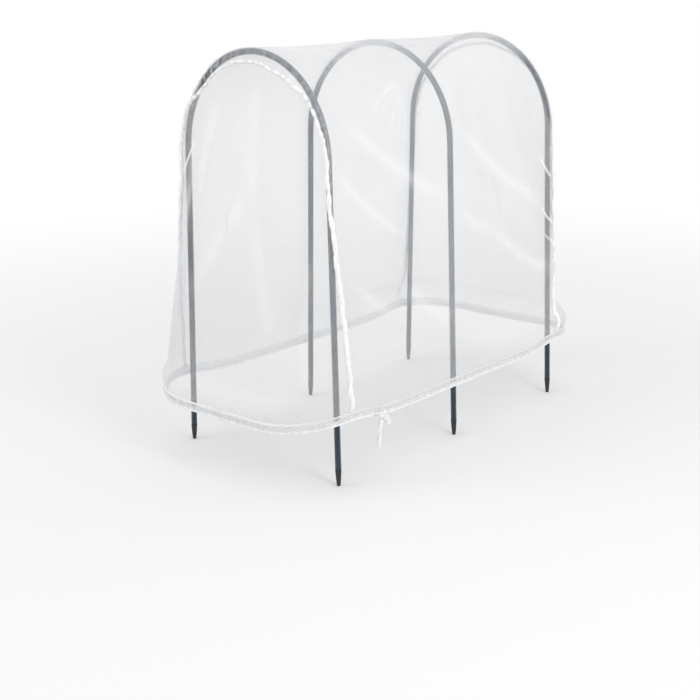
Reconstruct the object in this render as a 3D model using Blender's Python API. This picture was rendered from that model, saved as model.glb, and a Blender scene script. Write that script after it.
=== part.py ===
"""Planter insect net cover: three push-in hoops under one net with a drawcord hem.

Metres, +Z up. X runs across the planter and Y along it. The origin is under the middle of the
cover, at the height of the hoops' ground tips. Rim plane means the top of the planter's rim,
which the cover is cut to fit and which is not part of it.
"""

from math import atan, cos, exp, hypot, pi, radians, sin, sqrt

import bmesh
import bpy
from mathutils import Matrix, Vector

# Hoops
HOOP_SPACING = 0.238
END_HOOP_LEAN = 0.0103
FRONT_HOOP_NARROWER = 0.0165
ARCH_WIDTH = 0.2488
ARCH_RISE = 0.127
CROWN_ABOVE_RIM = 0.404
LEG_DEPTH = 0.125
LEG_LEAN = 0.0292
TUBE_DIAMETER = 0.008
TUBE_WALL = 0.0012

# Ground tips
TIP_LENGTH = 0.022
TIP_END_DIAMETER = 0.004
TIP_CHAMFER = 0.0008
TIP_SHOULDER_SHARE = 0.8
TIP_TAPER_SHARE = 0.28
SPIGOT_LENGTH = 0.014
SPIGOT_CLEARANCE = 0.0003

# The rim that the net is cut for
RIM_BESIDE_LEG = 0.019
RIM_BEYOND_HOOP = 0.0765
RIM_CORNER_RADIUS = 0.080
INSET_AT_SIDES = 0.0015
INSET_AT_ENDS = 0.007
INSET_RISE_ON_CORNER = 1.6

# Net
NET_THICKNESS = 0.0006
NET_EASE = 0.0025
ROOF_SAG = 0.003
FOLD_DEPTH = 0.003
FOLD_LENGTH = 0.165
FOLD_SLANT = 0.9
FRONT_FLARE_START = 0.14
REAR_SPREAD_ABOVE_RIM = 0.5
REAR_LATE_POWER = 40
FRONT_END_CURVE = 0.9
REAR_END_CURVE = 1.0
SEAM_SIDE_CURVE = 2.0
SIDE_CURVE_POWER = 6
CROWN_FULLNESS = 2.4

# Seams
SEAM_BEYOND_TUBE = 0.0045
SEAM_DROP = 0.017
SEAM_FADE = 0.85
SEAM_FADE_POWER = 1.3
SEAM_FADE_DOWN_LEG = 0.35
SEAM_FOOT_SETBACK = 0.012
BINDING_DIAMETER = 0.0044

# Hem and drawcord
HEM_BELOW_RIM = 0.046
HEM_DRAWN_IN = 0.003
CASING_HEIGHT = 0.013
CASING_WALL = 0.0006
CASING_TOP_WIDTH = 0.0016
CORD_DIAMETER = 0.0045
CORD_CLEARANCE = 0.0005
SEAM_FOOT_LIFT = 0.009
LIFT_ALONG_SIDE = 0.050
LIFT_ALONG_END = 0.080
OUTLET_FROM_MIDDLE = 0.184
OUTLET_BEND = 0.9
OUTLET_SPARE = 0.006
KNOT_DIAMETER = 0.011
SHORT_END_LENGTH = 0.016
SHORT_END_START = (0, 0.5, -0.87)
SHORT_END_WAY = (0.12, 0.45, -0.88)
SHORT_END_BOW = 0.0012

# The gap that every piece keeps to the one it rests on or is sewn to
SEAT_GAP = 0.0003

# Steps along curved forms
ARCH_STEPS = 14
TUBE_STEPS_PER_NET_STEP = 2
TUBE_SIDES = 10
LEG_STEPS = 6
LEG_STEP_BIAS = 1.5
BAY_STEPS = 5
END_RINGS = 8
INNER_RING_SHARE = 0.1
CASING_LOW_TURN = radians(65)
CASING_SIDE_TURN = radians(22)
BORE_TOP_TURN = radians(82)
CORD_BEND_SHARES = (0.34, 0.67)
TIP_SIDES = 12

# The free end of the drawcord, from the knot down, as steps from the knot's middle
TAIL_ROUTE = (
    (0.0000, -0.0029, -0.0052),
    (0.0001, -0.0044, -0.0080),
    (0.0003, -0.0054, -0.0118),
    (0.0003, -0.0060, -0.0166),
    (-0.0001, -0.0066, -0.0220),
    (-0.0002, -0.0071, -0.0274),
    (0.0001, -0.0074, -0.0328),
    (0.0004, -0.0077, -0.0380),
    (0.0004, -0.0081, -0.0432),
)

# Worked out from the sizes above
RIM_Z = LEG_DEPTH
TUBE_RADIUS = TUBE_DIAMETER / 2
BORE_RADIUS = TUBE_RADIUS - TUBE_WALL
BINDING_RADIUS = BINDING_DIAMETER / 2
CORD_RADIUS = CORD_DIAMETER / 2
KNOT_RADIUS = KNOT_DIAMETER / 2
ARCH_HALF = ARCH_WIDTH / 2
SPRING_Z = RIM_Z + CROWN_ABOVE_RIM - ARCH_RISE
LEAN_ANGLE = atan(LEG_LEAN * ARCH_RISE / ARCH_HALF)
ARCH_LIMIT = pi / 2 - LEAN_ANGLE
LEG_TOP_X = ARCH_HALF * cos(LEAN_ANGLE)
LEG_TOP_Z = SPRING_Z + ARCH_RISE * sin(LEAN_ANGLE)
HOOP_PLACES = {"front": -HOOP_SPACING, "middle": 0.0, "rear": HOOP_SPACING}
SEAM_Y = HOOP_SPACING + TUBE_RADIUS + SEAM_BEYOND_TUBE
FOOT_Y = SEAM_Y - SEAM_FOOT_SETBACK
FOOT_PULL = SEAM_FOOT_SETBACK / SEAM_Y
HEM_Z = RIM_Z - HEM_BELOW_RIM
CASING_BORE = CORD_RADIUS + CORD_CLEARANCE
CASING_RADIUS = CASING_BORE + CASING_WALL
BEND_REACH = OUTLET_BEND * CORD_DIAMETER
OUTLET_LENGTH = 4 * BEND_REACH + 2 * KNOT_RADIUS * (1 - sqrt(0.5)) + OUTLET_SPARE


def mix(start, end, share):
    return start + (end - start) * share


def lean_at(y):
    """The net draws the end hoops' crowns towards the middle: metres along Y per metre up."""
    return -END_HOOP_LEAN * min(max(y / HOOP_SPACING, -1), 1)


def width_share(y):
    """The net draws the front hoop's legs together: what is left there of the full width."""
    return 1 - FRONT_HOOP_NARROWER * min(max(-y / HOOP_SPACING, 0), 1)


def narrowed(point):
    """The point of the net, moved in with the front hoop. The rim holds its width."""
    above_rim = min(max((point.z - RIM_Z) / (LEG_TOP_Z - RIM_Z), 0), 1)
    return Vector((point.x * mix(1, width_share(point.y), above_rim), point.y, point.z))


def leaned(point):
    """The point of the net, moved with the hoops' lean above the rim."""
    shift = lean_at(point.y) * max(point.z - RIM_Z, 0)
    return point + Vector((0, shift, 0))


def leg_x(z):
    """Distance of a leg's centreline from the middle of the cover at height z."""
    return LEG_TOP_X + LEG_LEAN * (LEG_TOP_Z - z)


RIM_HALF_WIDTH = leg_x(RIM_Z) + RIM_BESIDE_LEG + NET_EASE
RIM_HALF_LENGTH = HOOP_SPACING + RIM_BEYOND_HOOP + NET_EASE
CORNER_RADIUS = RIM_CORNER_RADIUS + NET_EASE
SIDE_STRAIGHT = RIM_HALF_LENGTH - CORNER_RADIUS
END_STRAIGHT = RIM_HALF_WIDTH - CORNER_RADIUS
QUARTER_ARC = CORNER_RADIUS * pi / 2
END_MIDDLE_S = SIDE_STRAIGHT + QUARTER_ARC + END_STRAIGHT
END_FOOT_LENGTH = END_MIDDLE_S - FOOT_Y

# How far the edge of a sheet stays from the middle of the rolled seam that it is sewn to
SEWN_EDGE = BINDING_RADIUS + SEAT_GAP

# How far the net lies outside a hoop's centreline. Its flat facets clear the round tube.
SEAT_OFFSET = TUBE_RADIUS + SEAT_GAP
NET_STEP_ANGLE = 2 * ARCH_LIMIT / ARCH_STEPS
ARCH_OFFSET = (ARCH_RISE + SEAT_OFFSET) / cos(NET_STEP_ANGLE / 2) - ARCH_RISE
WRAP_ANGLES = (radians(55), radians(20))
WRAP_RADIUS = SEAT_OFFSET / cos((WRAP_ANGLES[0] - WRAP_ANGLES[1]) / 2)


def rim_line(s):
    """Point and outward direction on the net's line round the rim, s metres from the middle of
    the right side: positive towards the rear, up to the middle of either end."""
    side = 1 if s >= 0 else -1
    along = abs(s)
    if along <= SIDE_STRAIGHT:
        return Vector((RIM_HALF_WIDTH, s, 0)), Vector((1, 0, 0))
    along -= SIDE_STRAIGHT
    turn = min(along / CORNER_RADIUS, pi / 2)
    out = Vector((cos(turn), side * sin(turn), 0))
    centre = Vector((END_STRAIGHT, side * SIDE_STRAIGHT, 0))
    past = max(along - QUARTER_ARC, 0)
    return centre + out * CORNER_RADIUS - Vector((past, 0, 0)), out


def on_rim(s):
    """Where the net meets the rim's rounded top edge, further in on the corners and ends."""
    foot, out = rim_line(s)
    inset = mix(INSET_AT_SIDES, INSET_AT_ENDS, min(abs(out.y) * INSET_RISE_ON_CORNER, 1))
    return foot - out * inset + Vector((0, 0, RIM_Z))


def hem_lift(s):
    """The seams' stiff feet hold the hem up a little on both sides of them."""
    away = abs(s) - FOOT_Y
    reach = LIFT_ALONG_END if away > 0 else LIFT_ALONG_SIDE
    return SEAM_FOOT_LIFT * exp(-((away / reach) ** 2))


def flare(t, rear_share):
    """How far out the net has spread, 0 at the arch and 1 at the rim. It leaves the front hoop
    early and stays near the rear one until just above the rim."""
    left = max(t - FRONT_FLARE_START, 0) / (1 - FRONT_FLARE_START)
    rear = mix(t**REAR_LATE_POWER, t**2, REAR_SPREAD_ABOVE_RIM)
    return mix(1 - (1 - left) ** 2, rear, rear_share)


def rear_share_at(y):
    share = min(max((y + SEAM_Y) / (2 * SEAM_Y), 0), 1)
    return share * share * (3 - 2 * share)


def leg_shares():
    """Shares of the way from the arch down to the rim, closer together near the rim."""
    return [1 - (1 - (i + 1) / LEG_STEPS) ** LEG_STEP_BIAS for i in range(LEG_STEPS)]


def arch_angles(steps):
    """Angles from straight up, from the left leg's top to the right one's."""
    return [mix(-ARCH_LIMIT, ARCH_LIMIT, i / steps) for i in range(steps + 1)]


def arch_point(angle, offset):
    """Point in the X-Z plane at this distance outside the arch's centreline."""
    across, up = sin(angle) / ARCH_HALF, cos(angle) / ARCH_RISE
    long = hypot(across, up)
    return (
        ARCH_HALF * sin(angle) + offset * across / long,
        SPRING_Z + ARCH_RISE * cos(angle) + offset * up / long,
    )


def drop_share(angle):
    """How much of a seam's drop inside its hoop is left at this angle from the crown."""
    return cos(SEAM_FADE * angle) ** SEAM_FADE_POWER


def leg_drop_share(t):
    return drop_share(ARCH_LIMIT) * max(1 - t / SEAM_FADE_DOWN_LEG, 0)


def roof_folds(y, t):
    """Soft slanting creases on the long sides. They only swell outwards, clear of the legs."""
    wave = 0.5 + 0.5 * sin(2 * pi * (y / FOLD_LENGTH + FOLD_SLANT * t))
    return FOLD_DEPTH * wave * sin(pi * t)


def lower_edge(s, proud):
    """The two points of the net below the rim plane: over the rim's lip, and at the casing."""
    foot, out = rim_line(s)
    edge = foot + out * (proud - HEM_DRAWN_IN)
    edge.z = HEM_Z + CASING_HEIGHT + hem_lift(s) + SEAT_GAP
    lip = foot + out * proud
    lip.z = mix(RIM_Z, edge.z, 0.5)
    return [lip, edge]


def right_side(y, drop, proud, folds):
    """The net's right side in the plane that crosses the ridge at y, from the arch down."""
    s = y * (1 - FOOT_PULL)
    foot = on_rim(s)
    hug_at_rim = leg_x(RIM_Z) + ARCH_OFFSET
    points = []
    for t in leg_shares():
        z = mix(LEG_TOP_Z, RIM_Z, t)
        hug = leg_x(z) + ARCH_OFFSET
        spread = (foot.x - hug_at_rim) * flare(t, rear_share_at(y))
        swell = roof_folds(y, t) if folds else -drop * leg_drop_share(t)
        points.append(Vector((hug + spread + swell + proud, mix(y, foot.y, t * t), z)))
    return points + lower_edge(s, proud)


def section(y, drop=0.0, sag=0.0, proud=0.0, folds=False):
    """One line of the roof net, from the left hem over the arch to the right hem."""
    right = right_side(y, drop, proud, folds)
    left = [Vector((-p.x, p.y, p.z)) for p in reversed(right)]
    arch = []
    for angle in arch_angles(ARCH_STEPS):
        lower = drop * drop_share(angle) + sag * cos(angle)
        x, z = arch_point(angle, ARCH_OFFSET + proud - lower)
        arch.append(Vector((x, y, z)))
    return [leaned(narrowed(p)) for p in left + arch + right]


def outlet_places():
    """Ridge places of the roof lines that end at the two sides of the cord's outlet."""
    middle = -OUTLET_FROM_MIDDLE
    return [(middle + side * OUTLET_LENGTH / 2) / (1 - FOOT_PULL) for side in (-1, 1)]


def bay_places():
    """Ridge places of the roof lines from the front hoop to the rear one."""
    steps = BAY_STEPS * 2
    places = [mix(-HOOP_SPACING, HOOP_SPACING, i / steps) for i in range(steps + 1)]
    outlet = outlet_places()
    nearest = min(range(1, steps), key=lambda i: abs(places[i] - sum(outlet) / 2))
    places[nearest : nearest + 1] = outlet
    return places


def beside(line, next_line):
    """The edge of a sheet that is sewn to this line and runs on to the next one."""
    edge = []
    for i, p in enumerate(line):
        along = (line[min(i + 1, len(line) - 1)] - line[max(i - 1, 0)]).normalized()
        way = next_line[i] - p
        way -= along * way.dot(along)
        edge.append(p + way.normalized() * SEWN_EDGE)
    return edge


def roof_lines():
    """All lines of the roof net from the front seam to the rear one."""
    wraps = []
    for angle in reversed(WRAP_ANGLES):
        past = WRAP_RADIUS * cos(angle)
        wraps.append((past, WRAP_RADIUS * (1 - sin(angle))))
    front = [section(-HOOP_SPACING - past, drop=drop) for past, drop in wraps]
    lines = [beside(seam_line(-1), front[0])] + front
    for y in bay_places():
        phase = (y / HOOP_SPACING) % 1.0
        lines.append(section(y, sag=ROOF_SAG * sin(pi * phase), folds=abs(y) < HOOP_SPACING))
    rear = [section(HOOP_SPACING + past, drop=drop) for past, drop in reversed(wraps)]
    return lines + rear + [beside(seam_line(1), rear[-1])]


def seam_line(end):
    """The seam's own path: front is -1 and rear is 1."""
    return section(end * SEAM_Y, drop=SEAM_DROP, proud=NET_THICKNESS / 2)


def binding_line(end):
    """The seam's path with its feet cut back, so that their slanting ends clear the casing."""
    line = seam_line(end)
    for foot, above in ((0, 1), (-1, -2)):
        rise = line[above] - line[foot]
        slant = hypot(rise.x, rise.y) / rise.z
        line[foot] = line[foot] + rise.normalized() * BINDING_RADIUS * slant
    return line


def ring_shares(beside_seam):
    """Places across half an end net, 1 at the seam and 0 at the middle, one for each ring."""
    first = 1 - beside_seam
    return [mix(first, INNER_RING_SHARE, i / END_RINGS) for i in range(END_RINGS + 1)]


def end_foot_s(u):
    return END_MIDDLE_S - END_FOOT_LENGTH * u


def end_net_rings(end):
    """Nested arches of an end net, from beside the seam to its middle."""
    seam = seam_line(end)
    count = len(seam)
    leg_top = count - LEG_STEPS - 3
    rim_row = leg_top + LEG_STEPS
    top_half = seam[leg_top].x
    crown = seam[count // 2].z

    def net_point(u, z, spread):
        rise = max(1 - u**CROWN_FULLNESS, 0) ** (1 / CROWN_FULLNESS)
        height = SPRING_Z + (crown - SPRING_Z) * rise
        down = min(max((height - z) / (height - RIM_Z), 0), 1)
        curve = FRONT_END_CURVE if end < 0 else REAR_END_CURVE
        power = mix(curve, SEAM_SIDE_CURVE, u**SIDE_CURVE_POWER)
        foot = on_rim(end_foot_s(u))
        return Vector((mix(u * top_half, foot.x, spread), mix(SEAM_Y, foot.y, down**power), z))

    def leg_row(row):
        z = seam[row].z
        spread = (seam[row].x - top_half) / (seam[rim_row].x - top_half)
        shares = ring_shares(SEWN_EDGE / mix(top_half, END_FOOT_LENGTH, spread))
        return [net_point(u, z, spread) for u in shares]

    def arch_row(row):
        up = seam[row].z - SPRING_Z
        shares = ring_shares(SEWN_EDGE / hypot(seam[row].x, up))
        return [net_point(seam[row].x * k / top_half, SPRING_Z + up * k, 0) for k in shares]

    def foot_row(row):
        places = [end_foot_s(u) for u in ring_shares(SEWN_EDGE / END_FOOT_LENGTH)]
        return [lower_edge(s, 0)[row - rim_row - 1] for s in places]

    rows = [arch_row(row) for row in range(count // 2, leg_top)]
    rows += [leg_row(row) for row in range(leg_top, rim_row + 1)]
    rows += [foot_row(row) for row in range(rim_row + 1, count)]
    rings = []
    for ring in range(END_RINGS + 1):
        right = [leaned(Vector((row[ring].x, end * row[ring].y, row[ring].z))) for row in rows]
        left = [Vector((-p.x, p.y, p.z)) for p in reversed(right[1:])]
        rings.append(left + right)
    rings[0] = beside(seam, rings[1])
    return rings


def foot_stations():
    """Distances round the rim, on the right half from front to rear, where casing and net meet."""
    ends = [end_foot_s(u) for u in ring_shares(SEWN_EDGE / END_FOOT_LENGTH)]
    sides = [y * (1 - FOOT_PULL) for y in bay_places()]
    return [-s for s in reversed(ends)] + [-FOOT_Y] + sides + [FOOT_Y] + ends


def material(name, colour, roughness, metallic=0.0, alpha=1.0):
    made = bpy.data.materials.new(name)
    made.use_nodes = True
    shader = made.node_tree.nodes["Principled BSDF"]
    shader.inputs["Base Color"].default_value = (*colour, 1)
    shader.inputs["Roughness"].default_value = roughness
    shader.inputs["Metallic"].default_value = metallic
    shader.inputs["Alpha"].default_value = alpha
    return made


def add_object(name, mesh, finish, parent=None):
    """A mesh object in the scene, smooth over its round faces, with one material."""
    made = bpy.data.objects.new(name, mesh)
    bpy.context.collection.objects.link(made)
    if isinstance(mesh, bpy.types.Mesh):
        mesh.shade_smooth()
        mesh.set_sharp_from_angle(angle=radians(40))
    mesh.materials.append(finish)
    if parent:
        made.parent = parent
        made.matrix_parent_inverse = parent.matrix_world.inverted()
    return made


def add_empty(name, place):
    made = bpy.data.objects.new(name, None)
    made.location = place
    bpy.context.collection.objects.link(made)
    made.matrix_world = Matrix.Translation(place)
    return made


def mesh_from(name, points, faces):
    mesh = bpy.data.meshes.new(name)
    mesh.from_pydata([tuple(p) for p in points], [], faces)
    mesh.validate()
    return mesh


def add_sheet(name, lines, faces, outward, finish, parent):
    """A sheet of net through the points of its lines, thickened outwards."""
    points = [p for line in lines for p in line]
    mesh = mesh_from(name, points, faces)
    middle = mesh.polygons[len(mesh.polygons) // 2]
    if middle.normal.dot(outward(middle.center)) < 0:
        mesh.flip_normals()
    sheet = add_object(name, mesh, finish, parent)
    wall = sheet.modifiers.new("Net thickness", "SOLIDIFY")
    wall.thickness = NET_THICKNESS
    wall.offset = 1
    wall.use_even_offset = True
    return sheet


def grid_faces(lines, per_line):
    return [
        (a * per_line + b, a * per_line + b + 1, (a + 1) * per_line + b + 1, (a + 1) * per_line + b)
        for a in range(lines - 1)
        for b in range(per_line - 1)
    ]


def hoop_path(y):
    """Centreline of a hoop in the X-Z plane, from the left leg's end to the right one's."""
    end_z = TIP_LENGTH + SEAT_GAP
    steps = ARCH_STEPS * TUBE_STEPS_PER_NET_STEP
    arch = [arch_point(angle, 0) for angle in arch_angles(steps)]
    path = [(-leg_x(end_z), end_z)] + arch + [(leg_x(end_z), end_z)]
    return [(x * width_share(y), z) for x, z in path]


def tube_rings(path, radius):
    """Rings of points square to a path that lies in the X-Z plane."""
    rings = []
    for i, (x, z) in enumerate(path):
        before, after = path[max(i - 1, 0)], path[min(i + 1, len(path) - 1)]
        along = Vector((after[0] - before[0], 0, after[1] - before[1])).normalized()
        out = Vector((-along.z, 0, along.x))
        ring = []
        for k in range(TUBE_SIDES):
            turn = 2 * pi * k / TUBE_SIDES
            ring.append(Vector((x, 0, z)) + radius * (out * cos(turn) + Vector((0, sin(turn), 0))))
        rings.append(ring)
    return rings


def add_hoop(place, y, finish, parent):
    """A bent tube with its bore open at both ends."""
    path = hoop_path(y)
    shell = bmesh.new()
    loops = []
    for radius in (TUBE_RADIUS, BORE_RADIUS):
        rings = [[shell.verts.new(p) for p in ring] for ring in tube_rings(path, radius)]
        for a, b in zip(rings, rings[1:]):
            for k in range(TUBE_SIDES):
                after = (k + 1) % TUBE_SIDES
                shell.faces.new((a[k], a[after], b[after], b[k]))
        loops.append(rings)
    for end in (0, -1):
        outer, bore = loops[0][end], loops[1][end]
        for k in range(TUBE_SIDES):
            after = (k + 1) % TUBE_SIDES
            shell.faces.new((outer[k], outer[after], bore[after], bore[k]))
    bmesh.ops.recalc_face_normals(shell, faces=shell.faces)
    mesh = bpy.data.meshes.new(f"{place}_hoop")
    shell.to_mesh(mesh)
    shell.free()
    stand_up(mesh, y)
    return add_object(f"{place}_hoop", mesh, finish, parent)


def stand_up(mesh, y, lean_in=0.0):
    """Leans a mesh along Y as its hoop does, and along X by lean_in, about the rim plane."""
    lean = Matrix.Shear("XY", 4, (lean_in, lean_at(y)))
    mesh.transform(Matrix.Translation((0, y - lean_at(y) * RIM_Z, 0)) @ lean)


def tip_mesh():
    """A turned tip: spigot, shoulder and a taper down to a blunt end. It leans with its leg."""
    spigot = BORE_RADIUS - SPIGOT_CLEARANCE
    blunt = TIP_END_DIAMETER / 2
    profile = (
        (0, TIP_LENGTH + SPIGOT_LENGTH),
        (spigot - TIP_CHAMFER, TIP_LENGTH + SPIGOT_LENGTH),
        (spigot, TIP_LENGTH + SPIGOT_LENGTH - TIP_CHAMFER),
        (spigot, TIP_LENGTH),
        (TUBE_RADIUS, TIP_LENGTH),
        (TUBE_RADIUS, TIP_LENGTH * TIP_SHOULDER_SHARE),
        ((blunt + TUBE_RADIUS) / 2, TIP_LENGTH * TIP_TAPER_SHARE),
        (blunt, 0),
        (0, 0),
    )
    turned = bmesh.new()
    verts = [turned.verts.new((r, 0, z)) for r, z in profile]
    edges = [turned.edges.new(pair) for pair in zip(verts, verts[1:])]
    bmesh.ops.spin(
        turned,
        geom=verts + edges,
        cent=(0, 0, 0),
        axis=(0, 0, 1),
        angle=2 * pi,
        steps=TIP_SIDES,
    )
    bmesh.ops.remove_doubles(turned, verts=turned.verts, dist=0.00001)
    bmesh.ops.recalc_face_normals(turned, faces=turned.faces)
    mesh = bpy.data.meshes.new("ground_tip")
    turned.to_mesh(mesh)
    turned.free()
    return mesh


def add_tip(place, side_name, side, y, finish, parent):
    mesh = tip_mesh()
    out = side * width_share(y)
    stand_up(mesh, y, -out * LEG_LEAN)
    mesh.transform(Matrix.Translation((out * leg_x(0), 0, 0)))
    return add_object(f"{place}_hoop_{side_name}_tip", mesh, finish, parent)


def add_curve(name, points, radius, finish, parent, resolution=2):
    """A round cord or rolled seam along these points, with closed ends."""
    curve = bpy.data.curves.new(name, "CURVE")
    curve.dimensions = "3D"
    curve.bevel_depth = radius
    curve.bevel_resolution = resolution
    curve.use_fill_caps = True
    spline = curve.splines.new("POLY")
    spline.points.add(len(points) - 1)
    for point, place in zip(spline.points, points):
        point.co = (*place, 1)
    return add_object(name, curve, finish, parent)


def casing_profiles():
    """Outer and bore outlines of the casing, as (outward, up) from its cord's centre."""
    low = CASING_LOW_TURN
    side = CASING_SIDE_TURN
    turns = [-low, -side, side, low, None, None, pi - low, pi - side, pi + side, pi + low]
    top = CASING_HEIGHT - CASING_RADIUS
    tops = iter((CASING_TOP_WIDTH / 2, -CASING_TOP_WIDTH / 2))
    bore_tops = iter((BORE_TOP_TURN, pi - BORE_TOP_TURN))
    outer, bore = [], []
    for turn in turns:
        if turn is None:
            outer.append((next(tops), top))
            turn = next(bore_tops)
        else:
            outer.append((CASING_RADIUS * cos(turn), CASING_RADIUS * sin(turn)))
        bore.append((CASING_BORE * cos(turn), CASING_BORE * sin(turn)))
    return outer, bore


def cord_centre(s):
    """Where the cord lies in the casing, and the way out there."""
    foot, out = rim_line(s)
    centre = foot + out * (NET_THICKNESS / 2 - HEM_DRAWN_IN)
    centre.z = HEM_Z + hem_lift(s) + CASING_RADIUS
    return centre, out


def casing_stations():
    """(centre, outward) all the way round, and the index where the outlet starts."""
    right = [cord_centre(s) for s in foot_stations()]
    left = []
    for centre, out in reversed(right):
        left.append((Vector((-centre.x, centre.y, centre.z)), Vector((-out.x, out.y, 0))))
    outlet_start = outlet_places()[0] * (1 - FOOT_PULL)
    nearest = min(range(len(right)), key=lambda i: abs(foot_stations()[i] - outlet_start))
    return right + left, nearest


def add_casing(finish, parent):
    """A closed loop of tube with a slit in its outer face for the cord's two ends."""
    stations, outlet = casing_stations()
    shell = bmesh.new()
    outer_profile, bore_profile = casing_profiles()
    walls = []
    for profile in (outer_profile, bore_profile):
        rings = []
        for centre, out in stations:
            ring = [centre + out * across + Vector((0, 0, up)) for across, up in profile]
            rings.append([shell.verts.new(p) for p in ring])
        walls.append(rings)
    count = len(outer_profile)
    slit = range(3)
    for rings in walls:
        for i, ring in enumerate(rings):
            after_ring = rings[(i + 1) % len(rings)]
            for k in range(count):
                if i == outlet and k in slit:
                    continue
                after = (k + 1) % count
                shell.faces.new((ring[k], ring[after], after_ring[after], after_ring[k]))
    outer, bore = walls
    for i in (outlet, outlet + 1):
        for k in slit:
            shell.faces.new((outer[i][k], outer[i][k + 1], bore[i][k + 1], bore[i][k]))
    for k in (slit[0], slit[-1] + 1):
        a, b = outer[outlet], outer[outlet + 1]
        c, d = bore[outlet], bore[outlet + 1]
        shell.faces.new((a[k], b[k], d[k], c[k]))
    bmesh.ops.recalc_face_normals(shell, faces=shell.faces)
    mesh = bpy.data.meshes.new("hem_casing")
    shell.to_mesh(mesh)
    shell.free()
    return add_object("hem_casing", mesh, finish, parent)


def knot_centre():
    centre, out = cord_centre(-OUTLET_FROM_MIDDLE)
    return centre + out * (CASING_RADIUS + SEAT_GAP * 2 + KNOT_RADIUS)


def cord_exit(centre, side):
    """The cord's way from the casing to the knot on one side of the outlet."""
    knot = knot_centre()
    reach = KNOT_RADIUS + SEAT_GAP
    end = knot + Vector((-sqrt(0.5), side * sqrt(0.5), 0)) * reach
    bend = centre + Vector((0, -side * BEND_REACH, 0))
    curve = []
    for share in CORD_BEND_SHARES:
        curve.append(centre.lerp(bend, share).lerp(bend.lerp(end, share), share))
    return curve + [end]


def add_drawcord(finish, parent):
    stations, outlet = casing_stations()
    centres = [centre for centre, _ in stations]
    loop = centres[outlet + 1 :] + centres[: outlet + 1]
    points = list(reversed(cord_exit(loop[0], 1))) + loop + cord_exit(loop[-1], -1)
    return add_curve("drawcord", points, CORD_RADIUS, finish, parent)


def add_knot(finish, parent):
    """A round knot joined to the cord's short end."""
    centre = knot_centre()
    core = bmesh.new()
    bmesh.ops.create_uvsphere(core, u_segments=12, v_segments=8, radius=KNOT_RADIUS)
    mesh = bpy.data.meshes.new("drawcord_knot")
    core.to_mesh(mesh)
    core.free()
    mesh.transform(Matrix.Translation(centre))
    knot = add_object("drawcord_knot", mesh, finish, parent)
    start = centre + Vector(SHORT_END_START) * (KNOT_RADIUS - CORD_RADIUS)
    way = Vector(SHORT_END_WAY).normalized()
    bend = start + way * SHORT_END_LENGTH * 0.5 + Vector((0, SHORT_END_BOW, 0))
    tip = start + way * SHORT_END_LENGTH
    helper = add_curve("short_end_shape", [start, bend, tip], CORD_RADIUS, finish, parent)
    evaluated = helper.evaluated_get(bpy.context.evaluated_depsgraph_get())
    short_end = bpy.data.objects.new("short_end", bpy.data.meshes.new_from_object(evaluated))
    bpy.context.collection.objects.link(short_end)
    bpy.data.objects.remove(helper)
    short_end.hide_render = True
    short_end.display_type = "WIRE"
    join = knot.modifiers.new("Short end", "BOOLEAN")
    join.operation = "UNION"
    join.object = short_end
    join.solver = "EXACT"
    return knot


def build():
    for old in list(bpy.data.objects):
        bpy.data.objects.remove(old)
    coated = material("plastic_coated_tube", (0.205, 0.235, 0.245), 0.32)
    moulded = material("moulded_tip", (0.10, 0.12, 0.12), 0.5)
    net = material("insect_net", (0.93, 0.94, 0.95), 0.6, alpha=0.45)
    sewn = material("rolled_seam", (0.92, 0.93, 0.93), 0.7)
    cord = material("soft_cord", (0.94, 0.94, 0.92), 0.8)

    cover = add_empty("net_cover", (0, 0, 0))
    for place, y in HOOP_PLACES.items():
        mover = add_empty(f"{place}_hoop_slide", (0, y - lean_at(y) * RIM_Z, 0))
        add_hoop(place, y, coated, mover)
        for side_name, side in (("left", -1), ("right", 1)):
            add_tip(place, side_name, side, y, moulded, mover)

    lines = roof_lines()
    faces = grid_faces(len(lines), len(lines[0]))
    middle = Vector((0, 0, SPRING_Z))
    add_sheet("net_roof", lines, faces, lambda p: p - middle, net, cover)
    for name, end in (("front", -1), ("rear", 1)):
        rings = end_net_rings(end)
        count = len(rings[0])
        faces = grid_faces(len(rings), count)
        base = count * (len(rings) - 1)
        for i in range(count // 2 - 1):
            faces.append((base + i, base + i + 1, base + count - 2 - i, base + count - 1 - i))
        crown = base + count // 2
        faces.append((crown - 1, crown, crown + 1))
        way = Vector((0, end, 0))
        add_sheet(f"{name}_end_net", rings, faces, lambda p, way=way: way, net, cover)
        add_curve(f"{name}_seam_binding", binding_line(end), BINDING_RADIUS, sewn, cover, 1)

    add_casing(sewn, cover)
    add_drawcord(cord, cover)
    add_knot(cord, cover)
    tail = [knot_centre() + Vector(step) for step in TAIL_ROUTE]
    add_curve("drawcord_tail", tail, CORD_RADIUS, cord, cover)


build()
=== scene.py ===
"""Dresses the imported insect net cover: its coated hoops and ground tips, the fine net with its
folds and gathers, the rolled seams, the hem casing and the drawcord, on a plain pale floor.

Metres, +Z up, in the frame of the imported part. X runs across the cover and Y along it.
"""

from math import acos, atan, cos, hypot, pi, radians, sin

import bmesh
import bpy
import numpy as np
from mathutils import Matrix, Vector


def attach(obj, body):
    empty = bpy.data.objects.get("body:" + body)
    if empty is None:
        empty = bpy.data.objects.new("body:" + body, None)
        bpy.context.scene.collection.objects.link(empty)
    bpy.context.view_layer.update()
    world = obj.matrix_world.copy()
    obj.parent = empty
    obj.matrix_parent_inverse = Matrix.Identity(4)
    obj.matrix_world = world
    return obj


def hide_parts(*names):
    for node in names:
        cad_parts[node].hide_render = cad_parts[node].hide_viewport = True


bl_info = {
    "name": "Insect Net Cover",
    "version": (1, 0, 0),
    "blender": (4, 5, 0),
    "location": "View3D > Sidebar > Net Cover",
    "description": "Builds the net, hoops, seams, hem and drawcord of an insect net cover",
    "category": "Object",
}

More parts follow.
